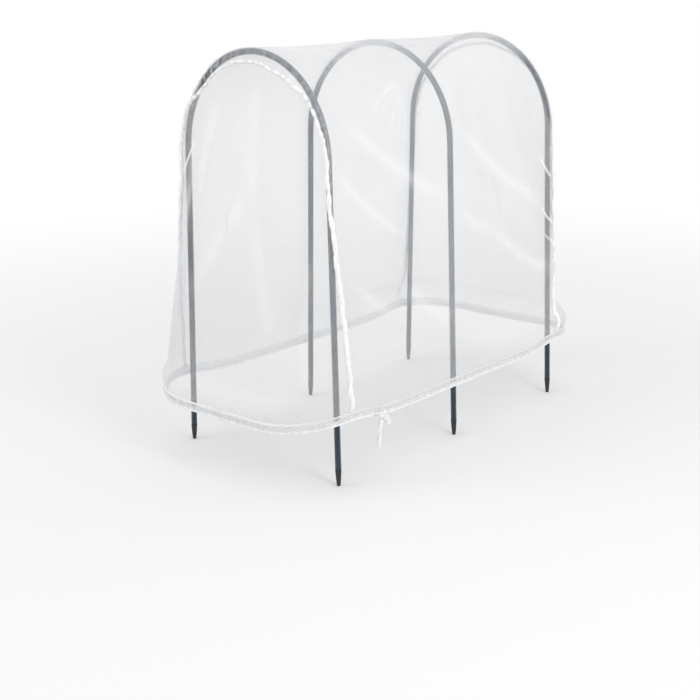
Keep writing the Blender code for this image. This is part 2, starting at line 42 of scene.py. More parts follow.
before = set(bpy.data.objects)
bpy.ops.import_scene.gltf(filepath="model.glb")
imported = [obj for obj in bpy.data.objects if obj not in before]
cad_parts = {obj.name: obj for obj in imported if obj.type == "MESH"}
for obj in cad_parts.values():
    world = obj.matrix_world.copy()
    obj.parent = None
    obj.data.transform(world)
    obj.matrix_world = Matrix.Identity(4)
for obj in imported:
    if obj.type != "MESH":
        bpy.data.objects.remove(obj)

# Hoops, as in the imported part
HOOP_SPACING = 0.238
END_HOOP_LEAN = 0.0103
FRONT_HOOP_NARROWER = 0.0165
ARCH_HALF = 0.1244
ARCH_RISE = 0.127
CROWN_ABOVE_RIM = 0.404
RIM_Z = 0.125
LEG_LEAN = 0.0292
TUBE_RADIUS = 0.004
TUBE_WALL = 0.0012
TIP_LENGTH = 0.022
TIP_END_RADIUS = 0.002
TIP_SHOULDER = 0.0176
TIP_TAPER = 0.0062
TIP_ROUNDING = 0.0007
TIP_EDGE_ANGLE = 50
SPIGOT_LENGTH = 0.014
SPIGOT_CLEARANCE = 0.0003
SEAT_GAP = 0.0003
HOOP_PLACES = {"front": -HOOP_SPACING, "middle": 0.0, "rear": HOOP_SPACING}

# The net: its line round the rim, its sag and folds, and how it spreads from the hoops
RIM_BESIDE_LEG = 0.019
RIM_BEYOND_HOOP = 0.0765
RIM_CORNER_RADIUS = 0.080
INSET_AT_SIDES = 0.0015
INSET_AT_ENDS = 0.007
INSET_RISE_ON_CORNER = 1.6
NET_EASE = 0.0025
ROOF_SAG = 0.003
FOLD_DEPTH = 0.003
FOLD_LENGTH = 0.165
FOLD_SLANT = 0.9
FRONT_FLARE_START = 0.14
REAR_SPREAD_ABOVE_RIM = 0.5
REAR_LATE_POWER = 40
FRONT_END_CURVE = 0.9
REAR_END_CURVE = 1.0
SEAM_SIDE_CURVE = 2.0
SIDE_CURVE_POWER = 6
CROWN_FULLNESS = 2.4

# Seams, hem and drawcord
SEAM_BEYOND_TUBE = 0.0045
SEAM_DROP = 0.017
SEAM_FADE = 0.85
SEAM_FADE_POWER = 1.3
SEAM_FADE_DOWN_LEG = 0.35
SEAM_FOOT_SETBACK = 0.012
SEAM_ROLL_RADIUS = 0.0022
HEM_BELOW_RIM = 0.046
HEM_DRAWN_IN = 0.003
CASING_HEIGHT = 0.013
CASING_RADIUS = 0.00335
CASING_TOP_WIDTH = 0.0016
CORD_DIAMETER = 0.0045
CORD_FULLNESS = 1.2
SHORT_END_FULLNESS = 1.4
CORD_LEAVES_CASING = 0.014
SEAM_FOOT_LIFT = 0.009
LIFT_ALONG_SIDE = 0.050
LIFT_ALONG_END = 0.080
OUTLET_FROM_MIDDLE = 0.184
OUTLET_HALF = 0.0085
KNOT_RADIUS = 0.0055
KNOT_STRAND_RADIUS = 0.0022
KNOT_LOOP = 0.0015
KNOT_DEPTH = 0.0020
KNOT_BAND_RADIUS = 0.0017
TAIL_ROUTE = (
    (0.1608, -0.1869, 0.0804),
    (0.1609, -0.1884, 0.0776),
    (0.1611, -0.1894, 0.0738),
    (0.1611, -0.1900, 0.0690),
    (0.1607, -0.1906, 0.0636),
    (0.1606, -0.1911, 0.0582),
    (0.1609, -0.1914, 0.0528),
    (0.1612, -0.1917, 0.0476),
    (0.1612, -0.1921, 0.0424),
)

# Worked out from the sizes above
SPRING_Z = RIM_Z + CROWN_ABOVE_RIM - ARCH_RISE
LEAN_ANGLE = atan(LEG_LEAN * ARCH_RISE / ARCH_HALF)
ARCH_LIMIT = pi / 2 - LEAN_ANGLE
LEG_TOP_X = ARCH_HALF * cos(LEAN_ANGLE)
LEG_TOP_Z = SPRING_Z + ARCH_RISE * sin(LEAN_ANGLE)
SEAM_Y = HOOP_SPACING + TUBE_RADIUS + SEAM_BEYOND_TUBE
FOOT_Y = SEAM_Y - SEAM_FOOT_SETBACK
FOOT_PULL = SEAM_FOOT_SETBACK / SEAM_Y
HEM_Z = RIM_Z - HEM_BELOW_RIM
RIM_HALF_WIDTH = LEG_TOP_X + LEG_LEAN * (LEG_TOP_Z - RIM_Z) + RIM_BESIDE_LEG + NET_EASE
RIM_HALF_LENGTH = HOOP_SPACING + RIM_BEYOND_HOOP + NET_EASE
CORNER_RADIUS = RIM_CORNER_RADIUS + NET_EASE
SIDE_STRAIGHT = RIM_HALF_LENGTH - CORNER_RADIUS
END_STRAIGHT = RIM_HALF_WIDTH - CORNER_RADIUS
QUARTER_ARC = CORNER_RADIUS * pi / 2
END_MIDDLE_S = SIDE_STRAIGHT + QUARTER_ARC + END_STRAIGHT
END_FOOT_LENGTH = END_MIDDLE_S - FOOT_Y
NET_OFFSET = TUBE_RADIUS + 0.0007
CASING_TALL = CASING_HEIGHT - CASING_RADIUS
OUTLET_HALF_HEIGHT = CASING_RADIUS * 0.8
CORD_RADIUS = CORD_DIAMETER / 2

# The two rows of stitches in the hem, as (out from the casing's middle, up from it)
HEM_STITCH_ROWS = ((CASING_TOP_WIDTH / 2 + 0.0004, CASING_TALL - 0.0010), (0.0026, 0.0042))
HEM_STITCHES_WIDER = 1.05
HEM_STITCH_SHARE = 0.8

# Folds of the net, as (start, end, half width, height, painted light). Painted light above 0 is a
# painted highlight along the fold, where the net is also denser; below 0 it is painted shade, where
# the net is also thinner. On the long sides a place is (along, up), and on the ends it is (across,
# up).
RIGHT_FOLDS = (
    ((-0.233, 0.396), (-0.112, 0.296), 0.0065, 0.0022, 0.55),
    ((-0.215, 0.455), (-0.010, 0.330), 0.0100, 0.0022, 0.55),
    ((-0.001, 0.434), (0.222, 0.290), 0.0090, 0.0024, 0.55),
    ((0.001, 0.314), (0.085, 0.277), 0.0080, 0.0018, 0.55),
    ((0.070, 0.283), (0.236, 0.190), 0.0090, 0.0020, 0.55),
    ((-0.222, 0.260), (-0.150, 0.205), 0.0080, 0.0016, 0.50),
    ((-0.120, 0.235), (-0.020, 0.170), 0.0090, 0.0016, 0.50),
    ((0.236, 0.285), (0.246, 0.150), 0.0110, 0.0034, 0.40),
    ((0.205, 0.365), (0.240, 0.328), 0.0015, 0.0010, 2.40),
    ((0.208, 0.294), (0.240, 0.260), 0.0015, 0.0010, 2.40),
    ((0.214, 0.252), (0.240, 0.232), 0.0014, 0.0008, 1.60),
    ((0.226, 0.515), (0.240, 0.395), 0.0070, 0.0000, -0.80),
    ((-0.070, 0.488), (-0.158, 0.452), 0.0020, 0.0010, 0.60),
    ((-0.072, 0.484), (-0.146, 0.440), 0.0018, 0.0010, 0.60),
    ((-0.074, 0.480), (-0.132, 0.424), 0.0020, 0.0011, 0.60),
    ((-0.078, 0.474), (-0.116, 0.416), 0.0018, 0.0009, 0.60),
    ((-0.080, 0.466), (-0.100, 0.410), 0.0020, 0.0009, 0.60),
)
LEFT_FOLDS = (
    ((-0.230, 0.420), (-0.060, 0.300), 0.0090, 0.0020, 0.55),
    ((0.010, 0.440), (0.190, 0.320), 0.0090, 0.0020, 0.55),
    ((-0.100, 0.300), (0.010, 0.210), 0.0080, 0.0016, 0.50),
    ((0.090, 0.290), (0.225, 0.205), 0.0080, 0.0016, 0.50),
)
FRONT_FOLDS = (
    ((0.022, 0.505), (0.032, 0.350), 0.0120, 0.0028, 0.55),
    ((0.032, 0.370), (-0.070, 0.225), 0.0110, 0.0026, 0.55),
    ((0.040, 0.340), (0.085, 0.190), 0.0120, 0.0022, 0.55),
    ((-0.040, 0.480), (-0.075, 0.330), 0.0110, 0.0020, 0.55),
    ((-0.094, 0.416), (-0.127, 0.369), 0.0015, 0.0010, 2.60),
    ((-0.103, 0.385), (-0.112, 0.265), 0.0100, 0.0000, -0.20),
    ((-0.090, 0.385), (-0.061, 0.235), 0.0140, 0.0000, -0.60),
    ((-0.068, 0.265), (-0.043, 0.150), 0.0140, 0.0000, -0.25),
    ((-0.132, 0.255), (-0.152, 0.120), 0.0032, 0.0020, 0.40),
    ((0.115, 0.300), (0.132, 0.120), 0.0040, 0.0018, 0.40),
)
REAR_FOLDS = (
    ((-0.030, 0.500), (-0.036, 0.330), 0.0120, 0.0026, 0.55),
    ((-0.030, 0.350), (0.060, 0.210), 0.0110, 0.0024, 0.55),
    ((0.045, 0.480), (0.080, 0.320), 0.0110, 0.0020, 0.55),
    ((-0.110, 0.310), (-0.130, 0.120), 0.0050, 0.0020, 0.50),
    ((0.116, 0.320), (0.136, 0.120), 0.0045, 0.0020, 0.50),
)

# How far a fold bows aside and over how much of each end it fades, as shares of its length
FOLD_BOW = 0.04
FOLD_FADE = 0.22

# How far the front seam lies outside its even line, as (degrees from the crown, metres). It
# slips over the left shoulder in one short kink and hugs the right one.
FRONT_SEAM_SHIFTS = (
    (-90, 0.0030), (-76, 0.0034), (-66, 0.0042), (-60, 0.0034), (-56, 0.0000), (-52, -0.0026),
    (-43, -0.0034), (-34, -0.0020), (-22, 0.0000), (-13, 0.0010), (0, 0.0000), (12, -0.0004),
    (25, -0.0010), (33, -0.0010), (41, 0.0006), (49, 0.0040), (56, 0.0038), (62, 0.0034),
    (70, 0.0024), (78, 0.0030), (90, 0.0030),
)
SHIFT_ROUNDING = 2.5
SHIFT_CLEAR_OF_HOOP = TUBE_RADIUS * 0.6

# The hatched gathers over the front hoop's left shoulder, with a highlight painted on their ridges,
# and the taut, clearer net over its crown. The middles and reaches are angles from the crown, in
# radians.
HATCH_MIDDLE = -0.78
HATCH_REACH = 0.42
HATCH_REACH_ALONG = 0.022
HATCH_PITCH = 0.0054
HATCH_SLANT = 1.1
HATCH_HEIGHT = 0.0011
HATCH_PAINTED_LIGHT = 1.5
HATCH_GAPS = 1.1
TAUT_MIDDLE = -0.10
TAUT_REACH = 0.60
TAUT_ON_CROWN = 0.35

# The pleats above the hem and the puckers beside the seams: how they lie and the highlight painted on
# them
LEFT_SIDE_SHIFT = 0.37
GATHER_PAINTED_LIGHT = 0.2
GATHER_PAINTED_LIGHT_FADE = 1.6
PUCKER_FADE = 9
ROOF_PUCKER_SLANT = 0.6
ROOF_PUCKER_PAINTED_LIGHT = 0.6
END_PUCKER_SLANT = 0.8
END_PUCKER_STRETCH = 1.15
END_PUCKER_HEIGHT = 0.8
END_PUCKER_PAINTED_LIGHT = 0.5
END_SEAM_POWER = 10
END_LEVEL_MIDDLE = 0.12
END_CALM_SEAM = 0.05

# The hem casing's pleats, and the highlight painted on them, over the cord and along its top edge.
# Over the cord the paler band is partly the white cord seen through the cloth and partly a painted
# highlight on its lower face. Heights on its section are sines of the angle round it.
CASING_NECK_POWER = 1.4
PLEAT_SPREAD_LOW = 0.6
PLEAT_DROP = 0.22
PLEAT_RISE = 0.0007
PLEAT_PAINTED_LIGHT = 0.25
CORD_SHOWS_AT = -0.30
CORD_SHOWS_WITHIN = 0.50
CORD_SHOWS_AND_PAINTED_LIGHT = 0.95
TOP_EDGE_FROM = 0.85
TOP_EDGE_PAINTED_LIGHT_AT_SIDES = 0.30
TOP_EDGE_PAINTED_LIGHT_AT_ENDS = 0.75
HEM_CLOTH_SHARE = 1.3

# How the roll of a seam wanders, as the lengths and starts of two waves each way
SEAM_WAVES = (((0.0051, 0), (0.0087, 1)), ((0.0063, 2), (0.0109, 0)))
SEAM_CALM_ENDS = 0.02

# How thick that roll is between its lumps, and how much thicker on one
GIRTH_OVER_HOOP = (0.42, 0.70)
GIRTH_ON_LEG = (0.90, 0.18)
GIRTH_AT_CROWN = 0.90
GIRTH_AT_FOOT = 1.30

# The twists of the rolled seams and of the cord's long end, and the fibres at the cord's ends
SEAM_TWIST = {"lobes": 2, "depth": 0.13, "pitch": 0.024, "sides": 18, "wobble": 0.16}
TAIL_TWIST = {"lobes": 2, "depth": 0.17, "pitch": 0.019, "sides": 22, "wobble": 0.08}
FIBRE_COUNT = 70
FIBRE_RADIUS = 0.00017
FIBRE_SPREAD = 0.55
FIBRES_START_INSIDE = 0.0022

# How the net's cover grows when its round threads are seen at a slant
SLANT_POWER = 0.72
STEEPEST_SLANT = 0.2
MOST_THREAD_SHARE = 0.9

# How the threads' share of the pitch drifts over the cloth, in long streaks and wide patches, how
# the net's tone pales in the streaks, and the highlight painted on its folds
STREAK_SCALE = 42.0
STREAK_STRETCH = 0.22
STREAK_DRIFT = 0.012
STREAK_PALENESS = 0.16
PATCH_SCALE = 11.0
PATCH_DRIFT = 0.010
THREAD_WANDER_SCALE = 160.0
# The painted highlight on the folds, and the palest colour that it and the streaks reach
FOLD_PAINTED_LIGHT = 0.95
TONE_AND_PAINTED_LIGHT_GAIN = 1.22

# What a full fold adds to the threads' share, and the plain veil it lays over the gaps, on the
# nets and on the hem
NET_FOLD_SHARE = 0.09
NET_FOLD_VEIL = 0.06
HEM_DENSER = 1.1
HEM_FOLD_SHARE = 0.28
HEM_FOLD_VEIL = 0.30

# Steps along the fine surfaces
ARCH_ROWS = 46
LEG_ROWS = 100
LIP_ROWS = 12
BAY_STATIONS = 84
STATION_DRAW = 0.09
WRAP_STATIONS = 5
FALL_STATIONS = 4
END_RINGS = 72
HEM_STEP = 0.0018
HEM_SIDES = 24
SEAM_STEP = 0.0016
CORD_STEP = 0.0012
CORD_END_STEP = 0.0008
TUBE_SIDES = 28
TIP_SIDES = 32
BEND_POINTS = 120

# The camera that took the photograph, found from the hoops' outlines
CAMERA_PLACE = (1.1220, -1.3376, 0.6194)
CAMERA_AZIMUTH = 40.28
CAMERA_ELEVATION = 16.396
CAMERA_ROLL = -0.437
CAMERA_FOCAL = 1264.6
CAMERA_CENTRE = (372.45, 344.42)
FRAME_PIXELS = 700
SENSOR = 36.0

# The floor's half length, and how far from the middle it starts to fade into the backdrop
FLOOR_HALF = 6.0
FLOOR_FADE_START = 0.35

# The lamps, as (name, place, what it is turned to, width and height, its power among the looks)
LAMPS = (
    ("Key lamp", (-1.3, -2.0, 2.6), (0, 0, 0.25), (1.6, 1.6), "key_watts"),
    ("Side lamp", (2.0, -0.5, 1.45), (0, 0, 0.42), (0.8, 1.6), "side_watts"),
    ("Top lamp", (0.1, 0.0, 2.6), (0, 0, 0.3), (1.6, 1.6), "top_watts"),
)

# What each finish is called
FINISH_NAMES = {
    "tube": "Plastic coated tube",
    "tip": "Moulded ground tip",
    "net": "Insect net",
    "hem": "Hem net",
    "seam": "Rolled seam",
    "thread": "Sewing thread",
    "cord": "Soft twisted cord",
}


# Small numeric helpers


def mix(start, end, share):
    return start + (end - start) * share


def smooth_step(x):
    x = np.clip(x, 0, 1)
    return x * x * (3 - 2 * x)


def unit(v):
    return v / np.maximum(np.linalg.norm(v, axis=-1, keepdims=True), 1e-12)


def running_length(line):
    steps = np.linalg.norm(np.diff(line, axis=0), axis=1)
    return np.concatenate([[0], np.cumsum(steps)])


def resampled(line, step):
    """The polyline again with even steps of about this length."""
    line = np.asarray(line, float)
    along = running_length(line)
    at = np.linspace(0, along[-1], max(2, round(along[-1] / step)) + 1)
    return np.stack([np.interp(at, along, line[:, k]) for k in range(3)], axis=1)


def rounded(points, step):
    """A smooth curve through the points (Catmull-Rom), with even steps."""
    p = np.asarray(points, float)
    p = np.vstack([2 * p[0] - p[1], p, 2 * p[-1] - p[-2]])
    t = np.linspace(0, 1, 12, endpoint=False)[:, None]
    found = []
    for a, b, c, d in zip(p, p[1:], p[2:], p[3:]):
        curve = 2 * b + (c - a) * t
        curve = curve + (2 * a - 5 * b + 4 * c - d) * t**2
        curve = curve + (3 * b - a - 3 * c + d) * t**3
        found.append(0.5 * curve)
    return resampled(np.vstack(found + [p[-2:-1]]), step)


def ripple(s, pitch):
    """Uneven waves from 0 to 1, about a pitch apart."""
    turn = 2 * pi * s / pitch
    return 0.5 + 0.5 * np.sin(turn + 1.6 * np.sin(turn / 3.7) + 1.2 * np.sin(turn / 8.9 + 2))


# The net's shape, in arrays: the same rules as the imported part, with finer steps


def arch_line(angle, offset):
    across, up = np.sin(angle) / ARCH_HALF, np.cos(angle) / ARCH_RISE
    long = np.hypot(across, up)
    x = ARCH_HALF * np.sin(angle) + offset * across / long
    return x, SPRING_Z + ARCH_RISE * np.cos(angle) + offset * up / long


def leg_x(z):
    return LEG_TOP_X + LEG_LEAN * (LEG_TOP_Z - z)


def width_share(y):
    """The net draws the front hoop's legs together: what is left there of the full width."""
    return 1 - FRONT_HOOP_NARROWER * np.clip(-y / HOOP_SPACING, 0, 1)


def narrowed(points):
    """The net moves in with the front hoop, and the rim holds its width."""
    above_rim = np.clip((points[..., 2] - RIM_Z) / (LEG_TOP_Z - RIM_Z), 0, 1)
    drawn_in = points.copy()
    drawn_in[..., 0] *= mix(1, width_share(points[..., 1]), above_rim)
    return drawn_in


def leaned(points):
    """The end hoops' crowns stand a little towards the middle, and the net with them."""
    lean = -END_HOOP_LEAN * np.clip(points[..., 1] / HOOP_SPACING, -1, 1)
    tilted = points.copy()
    tilted[..., 1] += lean * np.maximum(points[..., 2] - RIM_Z, 0)
    return tilted


def rim_line(s):
    """Points and outward ways on the net's line round the rim, s metres from the middle of the
    right side."""
    s = np.asarray(s, float)
    side = np.where(s >= 0, 1.0, -1.0)
    along = np.maximum(np.abs(s) - SIDE_STRAIGHT, 0)
    turn = np.minimum(along / CORNER_RADIUS, pi / 2)
    past = np.maximum(along - QUARTER_ARC, 0)
    out = np.stack([np.cos(turn), side * np.sin(turn), 0 * turn], axis=-1)
    straight = np.minimum(np.abs(s), SIDE_STRAIGHT)
    centre = np.stack([END_STRAIGHT - past, side * straight, 0 * turn], axis=-1)
    return centre + out * CORNER_RADIUS, out


def hem_lift(s):
    away = np.abs(s) - FOOT_Y
    reach = np.where(away > 0, LIFT_ALONG_END, LIFT_ALONG_SIDE)
    return SEAM_FOOT_LIFT * np.exp(-((away / reach) ** 2))


def rim_inset(out):
    share = np.minimum(np.abs(out[..., 1]) * INSET_RISE_ON_CORNER, 1)
    return mix(INSET_AT_SIDES, INSET_AT_ENDS, share)


def on_rim(s):
    foot, out = rim_line(s)
    foot = foot - out * rim_inset(out)[..., None]
    foot[..., 2] = RIM_Z
    return foot


def below_rim(s, share):
    """From the rim's top edge, over its lip, down to the casing's top at share 1."""
    foot, out = rim_line(s)
    offset = -rim_inset(out) * (1 - share) * (1 - 2 * share)
    offset = offset - HEM_DRAWN_IN * share * (2 * share - 1)
    points = foot + out * offset[..., None]
    low = HEM_Z + CASING_HEIGHT + hem_lift(s)
    points[..., 2] = mix(RIM_Z, low, share)
    return points


def flare(t, rear_share):
    left = np.maximum(t - FRONT_FLARE_START, 0) / (1 - FRONT_FLARE_START)
    rear = mix(t**REAR_LATE_POWER, t**2, REAR_SPREAD_ABOVE_RIM)
    return mix(1 - (1 - left) ** 2, rear, rear_share)


def drop_share(angle):
    return np.cos(SEAM_FADE * angle) ** SEAM_FADE_POWER


def half_section(y, drop, sag, plump):
    """The net's right half at these ridge places, from the ridge to the casing."""
    y, drop, sag, plump = (np.asarray(v, float)[:, None] for v in (y, drop, sag, plump))
    angle = np.linspace(0, ARCH_LIMIT, ARCH_ROWS + 1)[None]
    lower = drop * drop_share(angle) + sag * np.cos(angle)
    x, z = arch_line(angle, NET_OFFSET - lower)
    arch = np.stack([x, y + 0 * x, z], axis=-1)
    t = np.linspace(0, 1, LEG_ROWS + 1)[None, 1:]
    z = mix(LEG_TOP_Z, RIM_Z, t)
    s = y * (1 - FOOT_PULL)
    foot = on_rim(s)
    hug = leg_x(z) + NET_OFFSET
    rear_share = smooth_step((y + SEAM_Y) / (2 * SEAM_Y))
    spread = (foot[..., 0] - leg_x(RIM_Z) - NET_OFFSET) * flare(t, rear_share)
    wave = 0.5 + 0.5 * np.sin(2 * pi * (y / FOLD_LENGTH + FOLD_SLANT * t))
    swell = plump * FOLD_DEPTH * wave * np.sin(pi * t)
    swell = swell - drop * drop_share(ARCH_LIMIT) * np.maximum(1 - t / SEAM_FADE_DOWN_LEG, 0)
    leg = np.stack([hug + spread + swell, mix(y, foot[..., 1], t * t), z + 0 * y], axis=-1)
    v = np.linspace(0, 1, LIP_ROWS + 1)[None, 1:]
    lip = below_rim(s + 0 * v, v + 0 * s)
    return leaned(narrowed(np.concatenate([arch, leg, lip], axis=1)))


def seam_half(end):
    """One side of a seam's path, from the crown down to the casing."""
    return half_section([end * SEAM_Y], [SEAM_DROP], [0], [0])[0]


def mirrored(points):
    return points * np.array([-1, 1, 1])


def whole(half):
    """Both sides of a section, from the left hem over the ridge to the right one."""
    return np.concatenate([mirrored(half)[..., :0:-1, :], half], axis=-2)


def column_angles():
    """The angle from the crown of each column of a whole section, and how far down its leg."""
    arch = np.linspace(0, ARCH_LIMIT, ARCH_ROWS + 1)
    below = np.full(LEG_ROWS + LIP_ROWS, ARCH_LIMIT)
    down = np.concatenate([0 * arch, np.linspace(0, 1, LEG_ROWS + 1)[1:], np.ones(LIP_ROWS)])
    angle = np.concatenate([arch, below])
    return np.concatenate([-angle[:0:-1], angle]), np.concatenate([down[:0:-1], down])


def front_seam_shift():
    """Where the front seam's own line lies from the even one, for each column."""
    angle, down = column_angles()
    known = np.array(FRONT_SEAM_SHIFTS)
    fine = np.arange(-110, 111, 0.5)
    amounts = np.interp(fine, known[:, 0], known[:, 1])
    spread = np.arange(-12, 12.5, 0.5)
    kernel = np.exp(-((spread / SHIFT_ROUNDING) ** 2))
    amounts = np.convolve(amounts, kernel / kernel.sum(), mode="same")
    amount = np.interp(np.degrees(angle), fine, amounts)
    amount = amount * np.clip(1 - down / SEAM_FADE_DOWN_LEG, 0, 1)
    across, up = np.sin(angle) / ARCH_HALF, np.cos(angle) / ARCH_RISE
    long = np.hypot(across, up)
    return np.stack([amount * across / long, 0 * amount, amount * up / long], axis=-1)


def fold_height_and_painted_light(places, folds):
    """The height that these folds add at each place, and the light painted on them there: a painted
    highlight above 0 and painted shade below.
    """
    height = np.zeros(places.shape[:-1])
    pale = np.zeros(places.shape[:-1])
    for start, end, width, tall, paleness in folds:
        a, along = np.array(start), np.array(end) - np.array(start)
        long = np.linalg.norm(along)
        away = places - a
        share = (away @ along) / long**2
        off = (away[..., 0] * along[1] - away[..., 1] * along[0]) / long
        bow = FOLD_BOW * long * np.sin(pi * np.clip(share, 0, 1))
        ends = smooth_step(share / FOLD_FADE) * smooth_step((1 - share) / FOLD_FADE)
        strength = np.exp(-(((off - bow) / width) ** 2)) * ends
        height += tall * strength
        pale += paleness * strength
    return height, pale


def layered(pale, *masks):
    """The strongest of these masks of painted light, which also thicken the net, with the painted shade
    where the first is below nothing.
    """
    return np.maximum.reduce([np.maximum(pale, 0), *masks]) + np.minimum(pale, 0)


def normals_of(grid):
    """Outward unit normals of a grid whose rows run along and whose columns run across."""
    return unit(np.cross(np.gradient(grid, axis=1), np.gradient(grid, axis=0)))


def hem_gathers(grid, s, sizes):
    """Pleats that start above the rim and deepen down to the casing, and the highlight painted on them.
    """
    above = np.maximum(grid[..., 2] - HEM_Z - CASING_HEIGHT, 0)
    wave = ripple(s, sizes.gather_pitch)
    rise = np.exp(-((above / sizes.gather_reach) ** 2))
    return sizes.gather_depth * wave * rise, GATHER_PAINTED_LIGHT * wave**2 * rise**GATHER_PAINTED_LIGHT_FADE


def on_right(grid):
    """Which columns of a whole section lie on its right side, with the ridge among them."""
    columns = grid.shape[1]
    return np.arange(columns) >= columns // 2


def side_shift(right):
    """Sets the left side's pleats off from the right side's."""
    return np.where(right, 0.0, LEFT_SIDE_SHIFT)


# Meshes


def add_cloth_data(mesh, places, fold):
    """Gives a mesh its flat cloth places and its mask of folds and painted light, one of each for every
    point.
    """
    order = np.zeros(len(mesh.loops), np.int32)
    mesh.loops.foreach_get("vertex_index", order)
    layer = mesh.uv_layers.new(name="Cloth")
    layer.data.foreach_set("uv", places.reshape(-1, 2)[order].astype(np.float32).ravel())
    mask = mesh.attributes.new("fold", "FLOAT", "POINT")
    mask.data.foreach_set("value", fold.ravel().astype(np.float32))
    mesh.shade_smooth()


def grid_mesh(name, grid, cloth, fold, closed=False):
    """A mesh over a grid of points, with its flat cloth places and its mask of folds and painted light.
    """
    rows, columns = grid.shape[:2]
    mesh = bpy.data.meshes.new(name)
    index = np.arange(rows * columns).reshape(rows, columns)
    if closed:
        index = np.concatenate([index, index[:1]])
    corners = np.stack([index[:-1, :-1], index[:-1, 1:], index[1:, 1:], index[1:, :-1]], axis=-1)
    corners = corners.reshape(-1, 4)
    mesh.from_pydata(grid.reshape(-1, 3), [], corners)
    add_cloth_data(mesh, cloth, fold)
    return mesh


def cloth_places(grid):
    """Flat (along, across) places of a grid, in metres, from its middle lines outwards."""
    places = []
    for axis in (0, 1):
        steps = np.linalg.norm(np.diff(grid, axis=axis), axis=-1)
        first = np.zeros_like(np.take(steps, [0], axis=axis))
        length = np.concatenate([first, np.cumsum(steps, axis=axis)], axis=axis)
        middle = np.take(length, [grid.shape[axis] // 2], axis=axis)
        places.append(length - middle)
    return np.stack(places, axis=-1)


def tube_frames(path):
    """Tangents and two steady cross directions along a path."""
    along = unit(np.gradient(path, axis=0))
    side = unit(np.cross(along[0], [0.3, 0.2, 0.93]))
    sides = []
    for way in along:
        side = side - way * (side @ way)
        side = side / np.linalg.norm(side)
        sides.append(side)
    sides = np.array(sides)
    return sides, np.cross(along, sides)


def rope_mesh(name, path, radius, lobes=3, depth=0.13, pitch=0.009, sides=20, wobble=0.04, ends=True):
    """A twisted strand along the path: lobes round its section that turn once in each pitch."""
    path = np.asarray(path, float)
    one, other = tube_frames(path)
    along = running_length(path)[:, None]
    turn = np.linspace(0, 2 * pi, sides, endpoint=False)[None]
    lobe = np.abs(np.cos(lobes * (turn - 2 * pi * along / (pitch * lobes)) / 2))
    uneven = np.sin(along / 0.0041 + 1.3) + np.sin(along / 0.0067 + turn)
    reach = radius * (1 - depth + 2 * depth * lobe**0.8 + wobble * uneven / 2)
    if ends:
        left = np.minimum(along, along[-1] - along)
        reach = reach * np.sqrt(np.clip(0.35 + left / radius, 0, 1))
    grid = path[:, None] + reach[..., None] * (
        one[:, None] * np.cos(turn)[..., None] + other[:, None] * np.sin(turn)[..., None]
    )
    count = len(path)
    mesh = bpy.data.meshes.new(name)
    index = np.arange(count * sides).reshape(count, sides)
    after = np.roll(index, -1, axis=1)
    corners = np.stack([index[:-1], after[:-1], after[1:], index[1:]], axis=-1).reshape(-1, 4)
    faces = corners.tolist() + [index[0][::-1].tolist(), index[-1].tolist()]
    mesh.from_pydata(grid.reshape(-1, 3), [], faces)
    places = np.stack(np.broadcast_arrays(along, turn * radius), axis=-1)
    # The mask is 1 in the grooves between the lobes, where the finishes paint shade
    add_cloth_data(mesh, places, np.broadcast_to(1 - lobe, grid.shape[:2]))
    return mesh


def path_mesh(name, path):
    """A line of edges, for the node trees that follow it."""
    mesh = bpy.data.meshes.new(name)
    mesh.from_pydata(np.asarray(path).tolist(), [(i, i + 1) for i in range(len(path) - 1)], [])
    return mesh


def add_piece(name, mesh, finish, body, nodes=()):
    """Puts a finished mesh in the scene, on its body and in place of its CAD nodes."""
    if finish is not None:
        mesh.materials.clear()
        mesh.materials.append(finish)
    piece = bpy.data.objects.new(name, mesh)
    bpy.context.scene.collection.objects.link(piece)
    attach(piece, body)
    if nodes:
        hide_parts(*nodes)
    return piece


# Node trees


def put(tree, socket, value):
    if isinstance(value, bpy.types.NodeSocket):
        tree.links.new(value, socket)
    else:
        socket.default_value = value


def add_node(tree, kind, inputs=(), **settings):
    """A node with its settings, and with its inputs given by name or number."""
    node = tree.nodes.new(kind)
    for name, value in settings.items():
        setattr(node, name, value)
    for key, value in dict(inputs).items():
        put(tree, node.inputs[key], value)
    return node


def result_of(tree, kind, inputs=(), **settings):
    """What a new node puts out first."""
    return add_node(tree, kind, inputs, **settings).outputs[0]


def maths(tree, operation, *values, kind="ShaderNodeMath", clamp=False):
    node = tree.nodes.new(kind)
    node.operation = operation
    if clamp:
        node.use_clamp = True
    for socket, value in zip(node.inputs, values):
        put(tree, socket, value)
    return node.outputs[0]


def vector(tree, x=0.0, y=0.0, z=0.0):
    return result_of(tree, "ShaderNodeCombineXYZ", {0: x, 1: y, 2: z})


def new_tree(name, kind, inputs, outputs):
    """A node group with its sockets, its input node's outputs and its output node."""
    tree = bpy.data.node_groups.new(name, kind)
    for in_out, sockets in (("INPUT", inputs), ("OUTPUT", outputs)):
        for label, socket_type, default in sockets:
            made = tree.interface.new_socket(name=label, in_out=in_out, socket_type=socket_type)
            if default is not None:
                made.default_value = default
    return tree, tree.nodes.new("NodeGroupInput").outputs, tree.nodes.new("NodeGroupOutput").inputs


GEOMETRY = ("Geometry", "NodeSocketGeometry", None)
FINISH = ("Finish", "NodeSocketMaterial", None)
FLOAT, WHOLE, VECTOR = "NodeSocketFloat", "NodeSocketInt", "NodeSocketVector"


def finish_tree(tree, given, made, geometry):
    """The last steps of each geometry tree: real geometry, smooth, with its finish."""
    real = result_of(tree, "GeometryNodeRealizeInstances", {0: geometry})
    smooth = result_of(tree, "GeometryNodeSetShadeSmooth", {0: real})
    finished = result_of(tree, "GeometryNodeSetMaterial", {0: smooth, "Material": given["Finish"]})
    put(tree, made["Geometry"], finished)
    return tree


